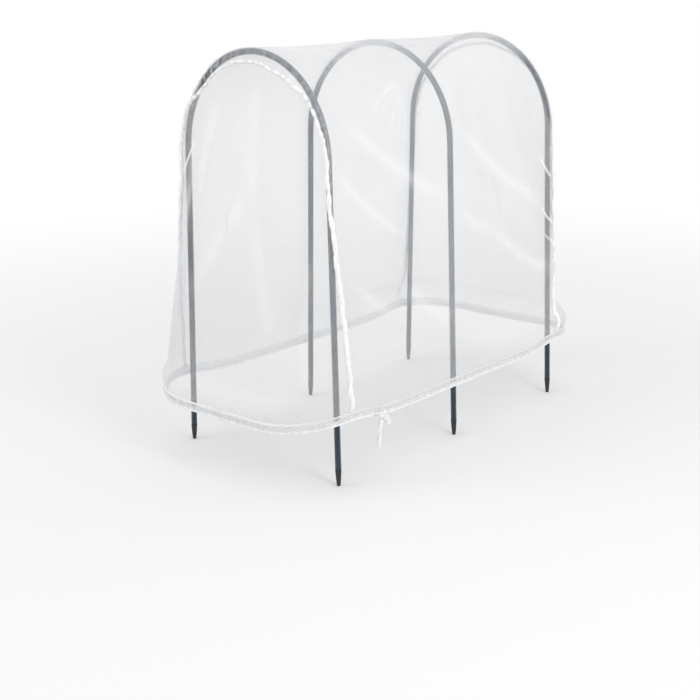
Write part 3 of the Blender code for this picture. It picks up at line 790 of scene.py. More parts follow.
def circle(tree, sides, radius):
    values = {"Resolution": sides, "Radius": radius}
    return result_of(tree, "GeometryNodeCurvePrimitiveCircle", values, mode="RADIUS")


def swept(tree, line, section):
    return result_of(tree, "GeometryNodeCurveToMesh", {0: line, "Profile Curve": section})


def turn_along(tree, way):
    """The turn that brings a piece's own Z along this way."""
    return result_of(tree, "FunctionNodeAlignRotationToVector", {"Vector": way}, axis="Z")


def turn_by(tree, angles):
    return result_of(tree, "FunctionNodeEulerToRotation", {0: angles})


def spots_along(tree, given):
    """Spots one pitch apart along the line of edges given, and the line's turn at each."""
    line = result_of(tree, "GeometryNodeMeshToCurve", {0: given["Geometry"]})
    values = {0: line, "Length": given["Pitch"]}
    spots = add_node(tree, "GeometryNodeCurveToPoints", values, mode="LENGTH").outputs
    return spots[0], turn_along(tree, spots["Tangent"])


def set_on(tree, spots, piece, turn, size=(1, 1, 1)):
    """A copy of the piece on each spot."""
    values = {"Points": spots, "Instance": piece, "Rotation": turn, "Scale": size}
    return result_of(tree, "GeometryNodeInstanceOnPoints", values)


def moved(tree, geometry, place, turn, size=(1, 1, 1)):
    values = {"Geometry": geometry, "Translation": place, "Rotation": turn, "Scale": size}
    return result_of(tree, "GeometryNodeTransform", values)


def grown_mesh(name, tree, values, start=None):
    """What a geometry tree makes with these values, as a plain mesh."""
    carrier = bpy.data.objects.new(name, start or bpy.data.meshes.new(name))
    bpy.context.scene.collection.objects.link(carrier)
    modifier = carrier.modifiers.new("Grown", "NODES")
    modifier.node_group = tree
    for item in tree.interface.items_tree:
        if item.in_out == "INPUT" and item.name in values:
            modifier[item.identifier] = values[item.name]
    graph = bpy.context.evaluated_depsgraph_get()
    mesh = bpy.data.meshes.new_from_object(carrier.evaluated_get(graph))
    mesh.name = name
    bpy.data.objects.remove(carrier)
    if not mesh.polygons:
        raise RuntimeError(f"the node tree {tree.name} made nothing for {name}")
    return mesh


def bent_tube_tree():
    """A round tube bent to an arch with two straight, leaning legs."""
    inputs = [
        ("Arch Half Width", FLOAT, ARCH_HALF),
        ("Arch Rise", FLOAT, ARCH_RISE),
        ("Spring Height", FLOAT, SPRING_Z),
        ("Arch Limit", FLOAT, ARCH_LIMIT),
        ("Leg End Out", FLOAT, 0.13),
        ("Leg End Height", FLOAT, TIP_LENGTH),
        ("Tube Radius", FLOAT, TUBE_RADIUS),
        ("Place", FLOAT, 0.0),
        ("Lean", FLOAT, 0.0),
        ("Rim Height", FLOAT, RIM_Z),
        ("Bend Points", WHOLE, BEND_POINTS),
        ("Sides", WHOLE, TUBE_SIDES),
        FINISH,
    ]
    tree, given, made = new_tree("Bent Tube", "GeometryNodeTree", inputs, [GEOMETRY])
    points = given["Bend Points"]
    share = maths(tree, "DIVIDE", maths(tree, "ADD", points, 1.0), maths(tree, "SUBTRACT", points, 1.0))
    half_sweep = maths(tree, "MULTIPLY", given["Arch Limit"], share)
    sweep = {
        "Resolution": maths(tree, "ADD", points, 2.0),
        "Radius": 1.0,
        "Start Angle": maths(tree, "SUBTRACT", pi / 2, half_sweep),
        "Sweep Angle": maths(tree, "MULTIPLY", half_sweep, 2.0),
    }
    arc = result_of(tree, "GeometryNodeCurveArc", sweep, mode="RADIUS")
    scale = vector(tree, given["Arch Half Width"], given["Arch Rise"], 1.0)
    lift = vector(tree, z=given["Spring Height"])
    upright = moved(tree, arc, lift, (pi / 2, 0, 0), scale)
    for way, ends in ((1.0, (1, 0)), (-1.0, (0, 1))):
        sizes = {"Start Size": ends[0], "End Size": ends[1]}
        chosen = result_of(tree, "GeometryNodeCurveEndpointSelection", sizes)
        out = maths(tree, "MULTIPLY", given["Leg End Out"], way)
        place = vector(tree, out, z=given["Leg End Height"])
        values = {"Geometry": upright, "Selection": chosen, "Position": place}
        upright = result_of(tree, "GeometryNodeSetPosition", values)
    here = result_of(tree, "GeometryNodeInputPosition")
    up = add_node(tree, "ShaderNodeSeparateXYZ", {0: here}).outputs[2]
    above = maths(tree, "SUBTRACT", up, given["Rim Height"])
    along = maths(tree, "MULTIPLY_ADD", above, given["Lean"], given["Place"])
    values = {"Geometry": upright, "Offset": vector(tree, y=along)}
    standing = result_of(tree, "GeometryNodeSetPosition", values)
    section = circle(tree, given["Sides"], given["Tube Radius"])
    return finish_tree(tree, given, made, swept(tree, standing, section))


def stitch_tree():
    """Straight stitches, one behind the other, along a line of edges."""
    inputs = [
        GEOMETRY,
        ("Pitch", FLOAT, 0.0034),
        ("Stitch Length", FLOAT, 0.0026),
        ("Thread Radius", FLOAT, 0.00028),
        FINISH,
    ]
    tree, given, made = new_tree("Straight Stitches", "GeometryNodeTree", inputs, [GEOMETRY])
    spots, turn = spots_along(tree, given)
    thread = result_of(tree, "GeometryNodeMeshUVSphere", {"Segments": 8, "Rings": 6, "Radius": 1.0})
    half = maths(tree, "MULTIPLY", given["Stitch Length"], 0.5)
    size = vector(tree, given["Thread Radius"], given["Thread Radius"], half)
    return finish_tree(tree, given, made, set_on(tree, spots, thread, turn, size))


def overcast_tree():
    """Slanting loops of thread round a rolled seam."""
    inputs = [
        GEOMETRY,
        ("Pitch", FLOAT, 0.0032),
        ("Loop Radius", FLOAT, SEAM_ROLL_RADIUS),
        ("Thread Radius", FLOAT, 0.00028),
        ("Slant", FLOAT, 0.5),
        FINISH,
    ]
    tree, given, made = new_tree("Overcast Stitches", "GeometryNodeTree", inputs, [GEOMETRY])
    spots, turn = spots_along(tree, given)
    loop = circle(tree, 14, given["Loop Radius"])
    thread = swept(tree, loop, circle(tree, 5, given["Thread Radius"]))
    leaning = turn_by(tree, vector(tree, given["Slant"]))
    values = {0: turn, 1: leaning}
    turned = result_of(tree, "FunctionNodeRotateRotation", values, rotation_space="LOCAL")
    return finish_tree(tree, given, made, set_on(tree, spots, thread, turned))


def fibre_tree():
    """Loose fibres that spread from the cut end of a cord."""
    inputs = [
        ("Count", WHOLE, 40),
        ("Fibre Length", FLOAT, 0.004),
        ("Fibre Radius", FLOAT, 0.00016),
        ("End Radius", FLOAT, 0.0017),
        ("Spread", FLOAT, 0.5),
        ("Place", VECTOR, (0, 0, 0)),
        ("Way", VECTOR, (0, 0, -1)),
        ("Seed", WHOLE, 3),
        FINISH,
    ]
    tree, given, made = new_tree("Cut End Fibres", "GeometryNodeTree", inputs, [GEOMETRY])
    spots = result_of(tree, "GeometryNodePoints", {"Count": given["Count"]})

    def chance(low, high, salt):
        node = add_node(tree, "FunctionNodeRandomValue", data_type="FLOAT")
        put(tree, node.inputs[2], low)
        put(tree, node.inputs[3], high)
        put(tree, node.inputs["Seed"], maths(tree, "ADD", given["Seed"], salt))
        return node.outputs[1]

    turn = chance(0.0, 2 * pi, 0.0)
    out = maths(tree, "SQRT", chance(0.0, 1.0, 11.0))
    reach = maths(tree, "MULTIPLY", out, given["End Radius"])
    across = maths(tree, "MULTIPLY", reach, maths(tree, "COSINE", turn))
    along = maths(tree, "MULTIPLY", reach, maths(tree, "SINE", turn))
    values = {0: spots, "Position": vector(tree, across, along)}
    placed = result_of(tree, "GeometryNodeSetPosition", values)
    shape = {"Vertices": 5, "Radius Top": 0.35, "Radius Bottom": 1.0, "Depth": 1.0}
    fibre = result_of(tree, "GeometryNodeMeshCone", shape)
    tilt = maths(tree, "MULTIPLY", out, given["Spread"])
    tilt = maths(tree, "MULTIPLY", tilt, chance(0.4, 1.3, 23.0))
    leaning = turn_by(tree, vector(tree, y=tilt, z=turn))
    long = maths(tree, "MULTIPLY", given["Fibre Length"], chance(0.55, 1.15, 37.0))
    size = vector(tree, given["Fibre Radius"], given["Fibre Radius"], long)
    tuft = set_on(tree, placed, fibre, leaning, size)
    standing = moved(tree, tuft, given["Place"], turn_along(tree, given["Way"]))
    return finish_tree(tree, given, made, standing)


# Finishes


def weave_group():
    """Threads that cross at a pitch, on flat cloth places in metres: where they are, and their
    height for a bump."""
    inputs = [
        ("Cloth", VECTOR, (0, 0, 0)),
        ("Pitch", FLOAT, 0.001),
        ("Thread Share", FLOAT, 0.2),
        ("Fuzz", FLOAT, 0.45),
    ]
    outputs = [("Cover", FLOAT, None), ("Height", FLOAT, None)]
    tree, given, made = new_tree("Woven Threads", "ShaderNodeTree", inputs, outputs)
    places = maths(tree, "DIVIDE", given["Cloth"], given["Pitch"], kind="ShaderNodeVectorMath")
    split = add_node(tree, "ShaderNodeSeparateXYZ", {0: places})
    half = maths(tree, "MULTIPLY", given["Thread Share"], 0.5)
    covers = []
    heights = []
    for this, other in ((0, 1), (1, 0)):
        off = maths(tree, "PINGPONG", split.outputs[this], 0.5)
        values = {
            "Value": off,
            "From Min": maths(tree, "MULTIPLY", half, 0.75),
            "From Max": maths(tree, "MULTIPLY", half, 1.25),
            "To Min": 1.0,
            "To Max": 0.0,
        }
        edge = result_of(tree, "ShaderNodeMapRange", values)
        covers.append(edge)
        over = maths(tree, "SINE", maths(tree, "MULTIPLY", split.outputs[other], pi))
        heights.append(maths(tree, "MULTIPLY", edge, maths(tree, "MULTIPLY_ADD", over, 0.3, 0.6)))
    open_share = maths(tree, "SUBTRACT", 1.0, given["Thread Share"])
    even = maths(tree, "SUBTRACT", 1.0, maths(tree, "MULTIPLY", open_share, open_share))
    sharp = maths(tree, "MAXIMUM", *covers)
    cover = result_of(tree, "ShaderNodeMix", {0: given["Fuzz"], 2: sharp, 3: even})
    put(tree, made["Cover"], cover)
    put(tree, made["Height"], maths(tree, "MAXIMUM", *heights))
    return tree


def uneven_group():
    """Slow changes over a surface, from 0 to 1 about the middle."""
    inputs = [("Place", VECTOR, (0, 0, 0)), ("Scale", FLOAT, 30.0), ("Detail", FLOAT, 3.0)]
    tree, given, made = new_tree("Uneven", "ShaderNodeTree", inputs, [("Value", FLOAT, None)])
    values = {"Vector": given["Place"], "Scale": given["Scale"], "Detail": given["Detail"]}
    noise = result_of(tree, "ShaderNodeTexNoise", values)
    wide = result_of(tree, "ShaderNodeMapRange", {"Value": noise, "From Min": 0.3, "From Max": 0.7})
    put(tree, made["Value"], wide)
    return tree


def new_finish(name, **values):
    """A new finish, with its node tree and its shader."""
    made = bpy.data.materials.new(name)
    made.use_nodes = True
    shader = made.node_tree.nodes["Principled BSDF"]
    for label, value in values.items():
        shader.inputs[label.replace("_", " ")].default_value = value
    return made, made.node_tree, shader


def grouped(tree, group, **inputs):
    node = tree.nodes.new("ShaderNodeGroup")
    node.node_tree = group
    for label, value in inputs.items():
        put(tree, node.inputs[label.replace("_", " ")], value)
    return node.outputs


def uneven_at(tree, groups, place, scale):
    return grouped(tree, groups["uneven"], Place=place, Scale=scale)["Value"]


def bumped(tree, shader, height, distance, strength=1.0):
    values = {"Height": height, "Distance": distance, "Strength": strength}
    put(tree, shader.inputs["Normal"], result_of(tree, "ShaderNodeBump", values))


def object_place(tree):
    return add_node(tree, "ShaderNodeTexCoord").outputs["Object"]


def cloth_place(tree):
    return result_of(tree, "ShaderNodeUVMap", uv_map="Cloth")


# The mask of folds and painted light: on the nets it thickens the cloth and paints highlight where
# above 0 and shade where below, and on the ropes it paints shade in the grooves of the twist
def fold_and_painted_light_mask(tree):
    return add_node(tree, "ShaderNodeAttribute", attribute_name="fold").outputs["Fac"]


def shades(tree, shader, share, dark, light):
    """The shader's colour between two shades of it."""
    tone = add_node(tree, "ShaderNodeMix", data_type="RGBA")
    put(tree, tone.inputs["Factor"], share)
    put(tree, tone.inputs[6], (*dark, 1))
    put(tree, tone.inputs[7], (*light, 1))
    put(tree, shader.inputs["Base Color"], tone.outputs[2])


def ranged(tree, value, low, high):
    return result_of(tree, "ShaderNodeMapRange", {"Value": value, "To Min": low, "To Max": high})


def scaled(colour, factor):
    return [min(c * factor, 1) for c in colour]


def tube_finish(colour, groups):
    """Smooth plastic coat on steel tube, with faint changes of shade and handling marks."""
    coat = {"Coat_Weight": 1.0, "Coat_IOR": 1.55, "Coat_Roughness": 0.18}
    made, tree, shader = new_finish(FINISH_NAMES["tube"], Specular_IOR_Level=0.1, **coat)
    place = object_place(tree)
    uneven = uneven_at(tree, groups, place, 35.0)
    shades(tree, shader, uneven, scaled(colour, 0.8), scaled(colour, 1.25))
    rubbed = uneven_at(tree, groups, place, 140.0)
    put(tree, shader.inputs["Roughness"], ranged(tree, rubbed, 0.20, 0.30))
    bumped(tree, shader, uneven_at(tree, groups, place, 900.0), 0.00004)
    return made


def tip_finish(colour, groups):
    """Moulded plastic with a fine grain."""
    made, tree, shader = new_finish(FINISH_NAMES["tip"], Roughness=0.5)
    place = object_place(tree)
    uneven = uneven_at(tree, groups, place, 120.0)
    shades(tree, shader, uneven, scaled(colour, 0.75), scaled(colour, 1.3))
    put(tree, shader.inputs["Roughness"], ranged(tree, uneven, 0.42, 0.6))
    bumped(tree, shader, uneven_at(tree, groups, place, 1600.0), 0.00006)
    return made


def slant_gain(tree):
    """How much wider round threads look against their gaps, seen at a slant."""
    facing = add_node(tree, "ShaderNodeLayerWeight", {"Blend": 0.5}).outputs["Facing"]
    straight = maths(tree, "MAXIMUM", maths(tree, "SUBTRACT", 1.0, facing), STEEPEST_SLANT)
    return maths(tree, "POWER", straight, -SLANT_POWER)


def wandering(tree, cloth, pitch):
    """The cloth's places, moved by up to half a pitch so that no two threads run alike."""
    values = {"Vector": cloth, "Scale": THREAD_WANDER_SCALE, "Detail": 1.0}
    drift = add_node(tree, "ShaderNodeTexNoise", values).outputs["Color"]
    drift = maths(tree, "SUBTRACT", drift, (0.5, 0.5, 0.5), kind="ShaderNodeVectorMath")
    step = (pitch, pitch, 0.0)
    return maths(tree, "MULTIPLY_ADD", drift, step, cloth, kind="ShaderNodeVectorMath")


def net_finish(key, colour, groups, pitch, thread_share, fold_share, fold_veil):
    """Fine see-through net. Folds and gathers, where it lies double, hide more and get a painted
    highlight.
    """
    sheen = {"Sheen_Weight": 0.15, "Sheen_Roughness": 0.4}
    made, tree, shader = new_finish(FINISH_NAMES[key], Roughness=0.75, **sheen)
    cloth = cloth_place(tree)
    fold = fold_and_painted_light_mask(tree)
    values = {"Vector": cloth, "Scale": (1.0, STREAK_STRETCH, 1.0)}
    streak = uneven_at(tree, groups, result_of(tree, "ShaderNodeMapping", values), STREAK_SCALE)
    patch = uneven_at(tree, groups, cloth, PATCH_SCALE)
    streaks = ranged(tree, streak, -STREAK_DRIFT, STREAK_DRIFT)
    loose = maths(tree, "ADD", streaks, ranged(tree, patch, -PATCH_DRIFT, PATCH_DRIFT))
    share = maths(tree, "ADD", loose, thread_share)
    share = maths(tree, "MULTIPLY_ADD", fold, fold_share, share)
    share = maths(tree, "MULTIPLY", share, slant_gain(tree))
    share = maths(tree, "MINIMUM", share, MOST_THREAD_SHARE)
    place = wandering(tree, cloth, pitch)
    threads = grouped(tree, groups["weave"], Cloth=place, Pitch=pitch, Thread_Share=share)
    paler = ranged(tree, streak, 0.0, STREAK_PALENESS)
    # A paler tone in the streaks, and a painted highlight where the mask of folds and painted light is
    # up
    pale = maths(tree, "MULTIPLY_ADD", fold, FOLD_PAINTED_LIGHT, paler, clamp=True)
    shades(tree, shader, pale, scaled(colour, 0.985), scaled(colour, TONE_AND_PAINTED_LIGHT_GAIN))
    filled = maths(tree, "MULTIPLY_ADD", fold, fold_veil, threads["Cover"])
    put(tree, shader.inputs["Alpha"], maths(tree, "MINIMUM", filled, 1.0))
    bumped(tree, shader, threads["Height"], pitch * 0.25, 0.6)
    return made


def sewn_finish(colour, groups, pitch):
    """Net rolled in several layers, so that hardly any light goes straight through."""
    made, tree, shader = new_finish(FINISH_NAMES["seam"], Roughness=0.8)
    cloth = cloth_place(tree)
    threads = grouped(tree, groups["weave"], Cloth=cloth, Pitch=pitch, Thread_Share=0.55)
    uneven = uneven_at(tree, groups, object_place(tree), 160.0)
    # Painted shade in the grooves of the roll's twist
    painted_groove_shade = maths(tree, "MULTIPLY", fold_and_painted_light_mask(tree), 0.35)
    light = maths(tree, "SUBTRACT", ranged(tree, uneven, 0.75, 1.0), painted_groove_shade, clamp=True)
    shades(tree, shader, light, scaled(colour, 0.88), scaled(colour, 1.03))
    height = maths(tree, "MULTIPLY_ADD", uneven, 0.6, threads["Height"])
    bumped(tree, shader, height, pitch * 0.35, 0.8)
    return made


def thread_finish(colour):
    """Twisted sewing thread, in fine slanting bands."""
    made, tree, shader = new_finish(FINISH_NAMES["thread"], Roughness=0.5)
    values = {"Vector": object_place(tree), "Scale": 900.0}
    wave = add_node(tree, "ShaderNodeTexWave", values, bands_direction="DIAGONAL").outputs["Fac"]
    shades(tree, shader, wave, scaled(colour, 0.93), scaled(colour, 1.04))
    bumped(tree, shader, wave, 0.00005)
    return made


def cord_finish(colour, groups):
    """Soft twisted cord: fine fibres that run slantwise round it."""
    made, tree, shader = new_finish(FINISH_NAMES["cord"], Roughness=0.85, Sheen_Weight=0.25)
    values = {"Vector": cloth_place(tree), "Rotation": (0, 0, radians(35)), "Scale": (1.0, 5.0, 1.0)}
    fibres = uneven_at(tree, groups, result_of(tree, "ShaderNodeMapping", values), 900.0)
    # Painted shade in the grooves of the cord's twist
    painted_groove_shade = maths(tree, "MULTIPLY", fold_and_painted_light_mask(tree), 0.5)
    light = maths(tree, "SUBTRACT", ranged(tree, fibres, 0.7, 1.0), painted_groove_shade, clamp=True)
    shades(tree, shader, light, scaled(colour, 0.8), scaled(colour, 1.03))
    bumped(tree, shader, fibres, 0.00022)
    return made


def finishes(looks, sizes):
    """Every finish of the object, made once."""
    if FINISH_NAMES["tube"] in bpy.data.materials:
        return {key: bpy.data.materials[name] for key, name in FINISH_NAMES.items()}
    groups = {"weave": weave_group(), "uneven": uneven_group()}
    pitch = sizes.weave_pitch
    share = sizes.thread_share
    net = (looks.net_colour, groups, pitch)
    return {
        "tube": tube_finish(looks.tube_colour, groups),
        "tip": tip_finish(looks.tip_colour, groups),
        "net": net_finish("net", *net, share, NET_FOLD_SHARE, NET_FOLD_VEIL),
        "hem": net_finish("hem", *net, share * HEM_DENSER, HEM_FOLD_SHARE, HEM_FOLD_VEIL),
        "seam": sewn_finish(looks.seam_colour, groups, pitch),
        "thread": thread_finish(looks.seam_colour),
        "cord": cord_finish(looks.cord_colour, groups),
    }


# Pieces


def build_hoops(sizes, finish):
    """The three bent tubes, with real walls."""
    tree = bent_tube_tree()
    end_z = TIP_LENGTH + SEAT_GAP
    for place, y in HOOP_PLACES.items():
        width = float(width_share(y))
        values = {
            "Leg End Out": leg_x(end_z) * width,
            "Leg End Height": end_z,
            "Tube Radius": sizes.tube_diameter / 2,
            "Place": y,
            "Lean": -END_HOOP_LEAN * y / HOOP_SPACING,
            "Arch Half Width": ARCH_HALF * width,
            "Arch Rise": ARCH_RISE,
            "Spring Height": SPRING_Z,
            "Arch Limit": ARCH_LIMIT,
            "Rim Height": RIM_Z,
            "Bend Points": BEND_POINTS,
            "Sides": TUBE_SIDES,
            "Finish": finish["tube"],
        }
        name = f"{place}_hoop_tube"
        mesh = grown_mesh(name, tree, values)
        hoop = add_piece(name, mesh, None, f"{place}_hoop", [f"{place}_hoop"])
        wall = hoop.modifiers.new("Tube wall", "SOLIDIFY")
        wall.thickness = TUBE_WALL
        wall.offset = -1


def turned_mesh(name, profile):
    """A closed mesh turned from a profile of (radius, height), from its top centre to its foot's."""
    turn = np.linspace(0, 2 * pi, TIP_SIDES, endpoint=False)
    radius, height = np.array(profile[1:-1]).T[..., None]
    rings = np.broadcast_arrays(radius * np.cos(turn), radius * np.sin(turn), height)
    points = np.stack(rings, axis=-1).reshape(-1, 3).tolist()
    index = np.arange(len(points)).reshape(-1, TIP_SIDES)
    after = np.roll(index, -1, axis=1)
    sides = np.stack([index[:-1], index[1:], after[1:], after[:-1]], axis=-1).reshape(-1, 4)
    top, foot = len(points), len(points) + 1
    faces = sides.tolist()
    faces += [(top, a, b) for a, b in zip(index[0].tolist(), after[0].tolist())]
    faces += [(foot, b, a) for a, b in zip(index[-1].tolist(), after[-1].tolist())]
    mesh = bpy.data.meshes.new(name)
    mesh.from_pydata(points + [(0, 0, profile[0][1]), (0, 0, profile[-1][1])], [], faces)
    return mesh


def build_tips(sizes, finish):
    """Turned tips: a spigot in the tube, a shoulder and a taper to a blunt, rounded end."""
    bore = sizes.tube_diameter / 2 - TUBE_WALL - SPIGOT_CLEARANCE
    full = sizes.tube_diameter / 2
    r = TIP_ROUNDING
    profile = [(0, TIP_LENGTH + SPIGOT_LENGTH), (bore - r, TIP_LENGTH + SPIGOT_LENGTH)]
    profile += [(bore, TIP_LENGTH + SPIGOT_LENGTH - r), (bore, TIP_LENGTH)]
    profile += [(full - r / 2, TIP_LENGTH), (full, TIP_LENGTH - r / 2)]
    profile += [(full, TIP_SHOULDER + r), (full - r * 0.3, TIP_SHOULDER)]
    waist = (TIP_END_RADIUS + full) / 2
    profile += [(mix(full, waist, 0.5), mix(TIP_SHOULDER, TIP_TAPER, 0.45)), (waist, TIP_TAPER)]
    profile += [(TIP_END_RADIUS + r * 0.6, r), (TIP_END_RADIUS, r * 0.35)]
    profile += [(TIP_END_RADIUS - r, 0), (0, 0)]
    for place, y in HOOP_PLACES.items():
        for side_name, side in (("left", -1), ("right", 1)):
            name = f"{place}_hoop_{side_name}_tip"
            mesh = turned_mesh(name, profile)
            lean = -END_HOOP_LEAN * y / HOOP_SPACING
            out = side * float(width_share(y))
            shear = Matrix.Shear("XY", 4, (-out * LEG_LEAN, lean))
            mesh.transform(Matrix.Translation((out * leg_x(0), y - lean * RIM_Z, 0)) @ shear)
            mesh.shade_smooth()
            mesh.set_sharp_from_angle(angle=radians(TIP_EDGE_ANGLE))
            add_piece(f"{name}_turned", mesh, finish["tip"], f"{place}_hoop", [name])


def ridge_stations():
    """Ridge places from seam to seam, with the drop past each end hoop and the sag between."""
    reach = hypot(SEAM_Y - HOOP_SPACING, SEAM_DROP - NET_OFFSET)
    touch = acos(NET_OFFSET / reach) - atan((SEAM_DROP - NET_OFFSET) / (SEAM_Y - HOOP_SPACING))
    turn = np.linspace(pi / 2, touch, WRAP_STATIONS + 1)[1:]
    past = list(NET_OFFSET * np.cos(turn))
    drop = list(NET_OFFSET * (1 - np.sin(turn)))
    fall = np.linspace(0, 1, FALL_STATIONS + 1)[1:]
    past += list(mix(past[-1], SEAM_Y - HOOP_SPACING, fall))
    drop += list(mix(drop[-1], SEAM_DROP, fall))
    bays = np.linspace(-1, 1, 2 * BAY_STATIONS + 1)
    bays = HOOP_SPACING * (bays - STATION_DRAW * np.sin(2 * pi * bays))
    past, drop = np.array(past), np.array(drop)
    y = np.concatenate([-HOOP_SPACING - past[::-1], bays, HOOP_SPACING + past])
    drops = np.concatenate([drop[::-1], 0 * bays, drop])
    inside = np.abs(y) < HOOP_SPACING - 1e-9
    sag = np.where(inside, ROOF_SAG * np.sin(pi * ((y / HOOP_SPACING) % 1.0)), 0)
    return y, drops, sag, inside.astype(float)


def build_roof(sizes, finish):
    """The length of net over all three hoops, with its folds, puckers, pleats and gathers."""
    y, drops, sag, plump = ridge_stations()
    grid = whole(half_section(y, drops, sag, plump))
    begin = HOOP_SPACING + SHIFT_CLEAR_OF_HOOP
    near_seam = smooth_step((-y - begin) / (SEAM_Y - begin))
    grid = grid + front_seam_shift()[None] * near_seam[:, None, None]
    right = on_right(grid)
    height = np.zeros(grid.shape[:2])
    fold = np.zeros(grid.shape[:2])
    for folds, here in ((RIGHT_FOLDS, right), (LEFT_FOLDS, ~right)):
        tall, pale = fold_height_and_painted_light(grid[..., 1:], folds)
        height += tall * here[None] * sizes.fold_gain
        fold += pale * here[None]
    s = y[:, None] * (1 - FOOT_PULL) + side_shift(right)[None]
    pleats, mask = hem_gathers(grid, s, sizes)
    height += pleats
    across = running_length(grid[len(y) // 2])[None]
    from_seam = SEAM_Y - np.abs(y)[:, None]
    pucker = ripple(across + ROOF_PUCKER_SLANT * from_seam, sizes.pucker_pitch) ** 2
    near = np.exp(-((from_seam / sizes.pucker_reach) ** 2))
    height += sizes.pucker_height * pucker * near
    # Painted highlight on the folds, pleats and puckers; painted shade where a fold's is below 0
    fold = layered(fold, mask, ROOF_PUCKER_PAINTED_LIGHT * pucker * near**PUCKER_FADE)
    angle = column_angles()[0][None]
    front = np.exp(-(((y[:, None] + HOOP_SPACING) / HATCH_REACH_ALONG) ** 2))
    zone = np.exp(-(((angle - HATCH_MIDDLE) / HATCH_REACH) ** 2)) * front
    hatch = ripple(across + HATCH_SLANT * y[:, None], HATCH_PITCH) ** 2
    height += HATCH_HEIGHT * hatch * zone
    # A painted highlight on the hatched ridges, and thinner net between them
    fold += (HATCH_PAINTED_LIGHT * hatch - HATCH_GAPS) * zone
    fold -= TAUT_ON_CROWN * np.exp(-(((angle - TAUT_MIDDLE) / TAUT_REACH) ** 2)) * front
    raised = grid + normals_of(grid) * height[..., None]
    mesh = grid_mesh("roof_net_cloth", raised, cloth_places(grid), fold)
    add_piece("roof_net_cloth", mesh, finish["net"], "cover", ["net_roof"])


def end_grid(end):
    """An end's net as rings from the seam to its middle, each from the left hem to the right."""
    seam = seam_half(end)
    k = np.linspace(1, 0, END_RINGS + 1)[:, None]
    arch, leg = seam[: ARCH_ROWS + 1], seam[ARCH_ROWS + 1 : ARCH_ROWS + LEG_ROWS + 1]
    top_half = arch[-1, 0]
    crown = seam[0, 2]

    def net_point(u, z, spread):
        rise = np.maximum(1 - u**CROWN_FULLNESS, 0) ** (1 / CROWN_FULLNESS)
        height = SPRING_Z + (crown - SPRING_Z) * rise
        down = np.clip((height - z) / (height - RIM_Z), 0, 1)
        curve = FRONT_END_CURVE if end < 0 else REAR_END_CURVE
        power = mix(curve, SEAM_SIDE_CURVE, u**SIDE_CURVE_POWER)
        foot = on_rim(END_MIDDLE_S - END_FOOT_LENGTH * u)
        x = mix(u * top_half, foot[..., 0], spread)
        return np.stack([x, mix(SEAM_Y, foot[..., 1], down**power), z + 0 * u], axis=-1)

    level = arch[-1, 2]
    top = net_point(arch[None, :, 0] * k / top_half, mix(level, arch[None, :, 2], k), 0)
    spread = (leg[:, 0] - top_half) / (leg[-1, 0] - top_half)
    sides = net_point(k + 0 * leg[None, :, 0], leg[None, :, 2] + 0 * k, spread[None])
    v = np.linspace(0, 1, LIP_ROWS + 1)[None, 1:]
    low = below_rim(END_MIDDLE_S - END_FOOT_LENGTH * k + 0 * v, v + 0 * k)
    half = np.concatenate([top, sides, low], axis=1)
    half[..., 1] *= end
    half = leaned(half)
    near_seam = k[..., None] ** END_SEAM_POWER
    half += (seam - half[0])[None] * near_seam
    grid = whole(half)
    if end < 0:
        grid = grid + front_seam_shift()[None] * near_seam
    return grid, k


def level_distances(grid):
    """How far each point of an end's net is from its middle line, along the cloth."""
    steps = np.linalg.norm(np.diff(grid[::-1], axis=0), axis=-1)
    along = np.concatenate([0 * steps[:1], np.cumsum(steps, axis=0)])[::-1]
    columns = grid.shape[1]
    middle = columns // 2
    sign = np.where(on_right(grid), 1.0, -1.0)
    on_arch = np.abs(np.arange(columns) - middle) <= ARCH_ROWS
    junction = middle + ARCH_ROWS
    wider = along[:, junction] / np.maximum(grid[:, junction, 0], 1e-6)
    wider[-1] = wider[-2]
    return np.where(on_arch[None], grid[..., 0] * wider[:, None], sign[None] * along)


def close_middle(mesh, end):
    """Joins the points that meet on an end's middle line, and turns its faces outwards."""
    soft = bmesh.new()
    soft.from_mesh(mesh)
    bmesh.ops.remove_doubles(soft, verts=soft.verts, dist=0.00002)
    soft.normal_update()
    facing = sum(face.normal.y * face.calc_area() for face in soft.faces)
    if facing * end < 0:
        bmesh.ops.reverse_faces(soft, faces=soft.faces)
    soft.to_mesh(mesh)
    soft.free()
    mesh.shade_smooth()


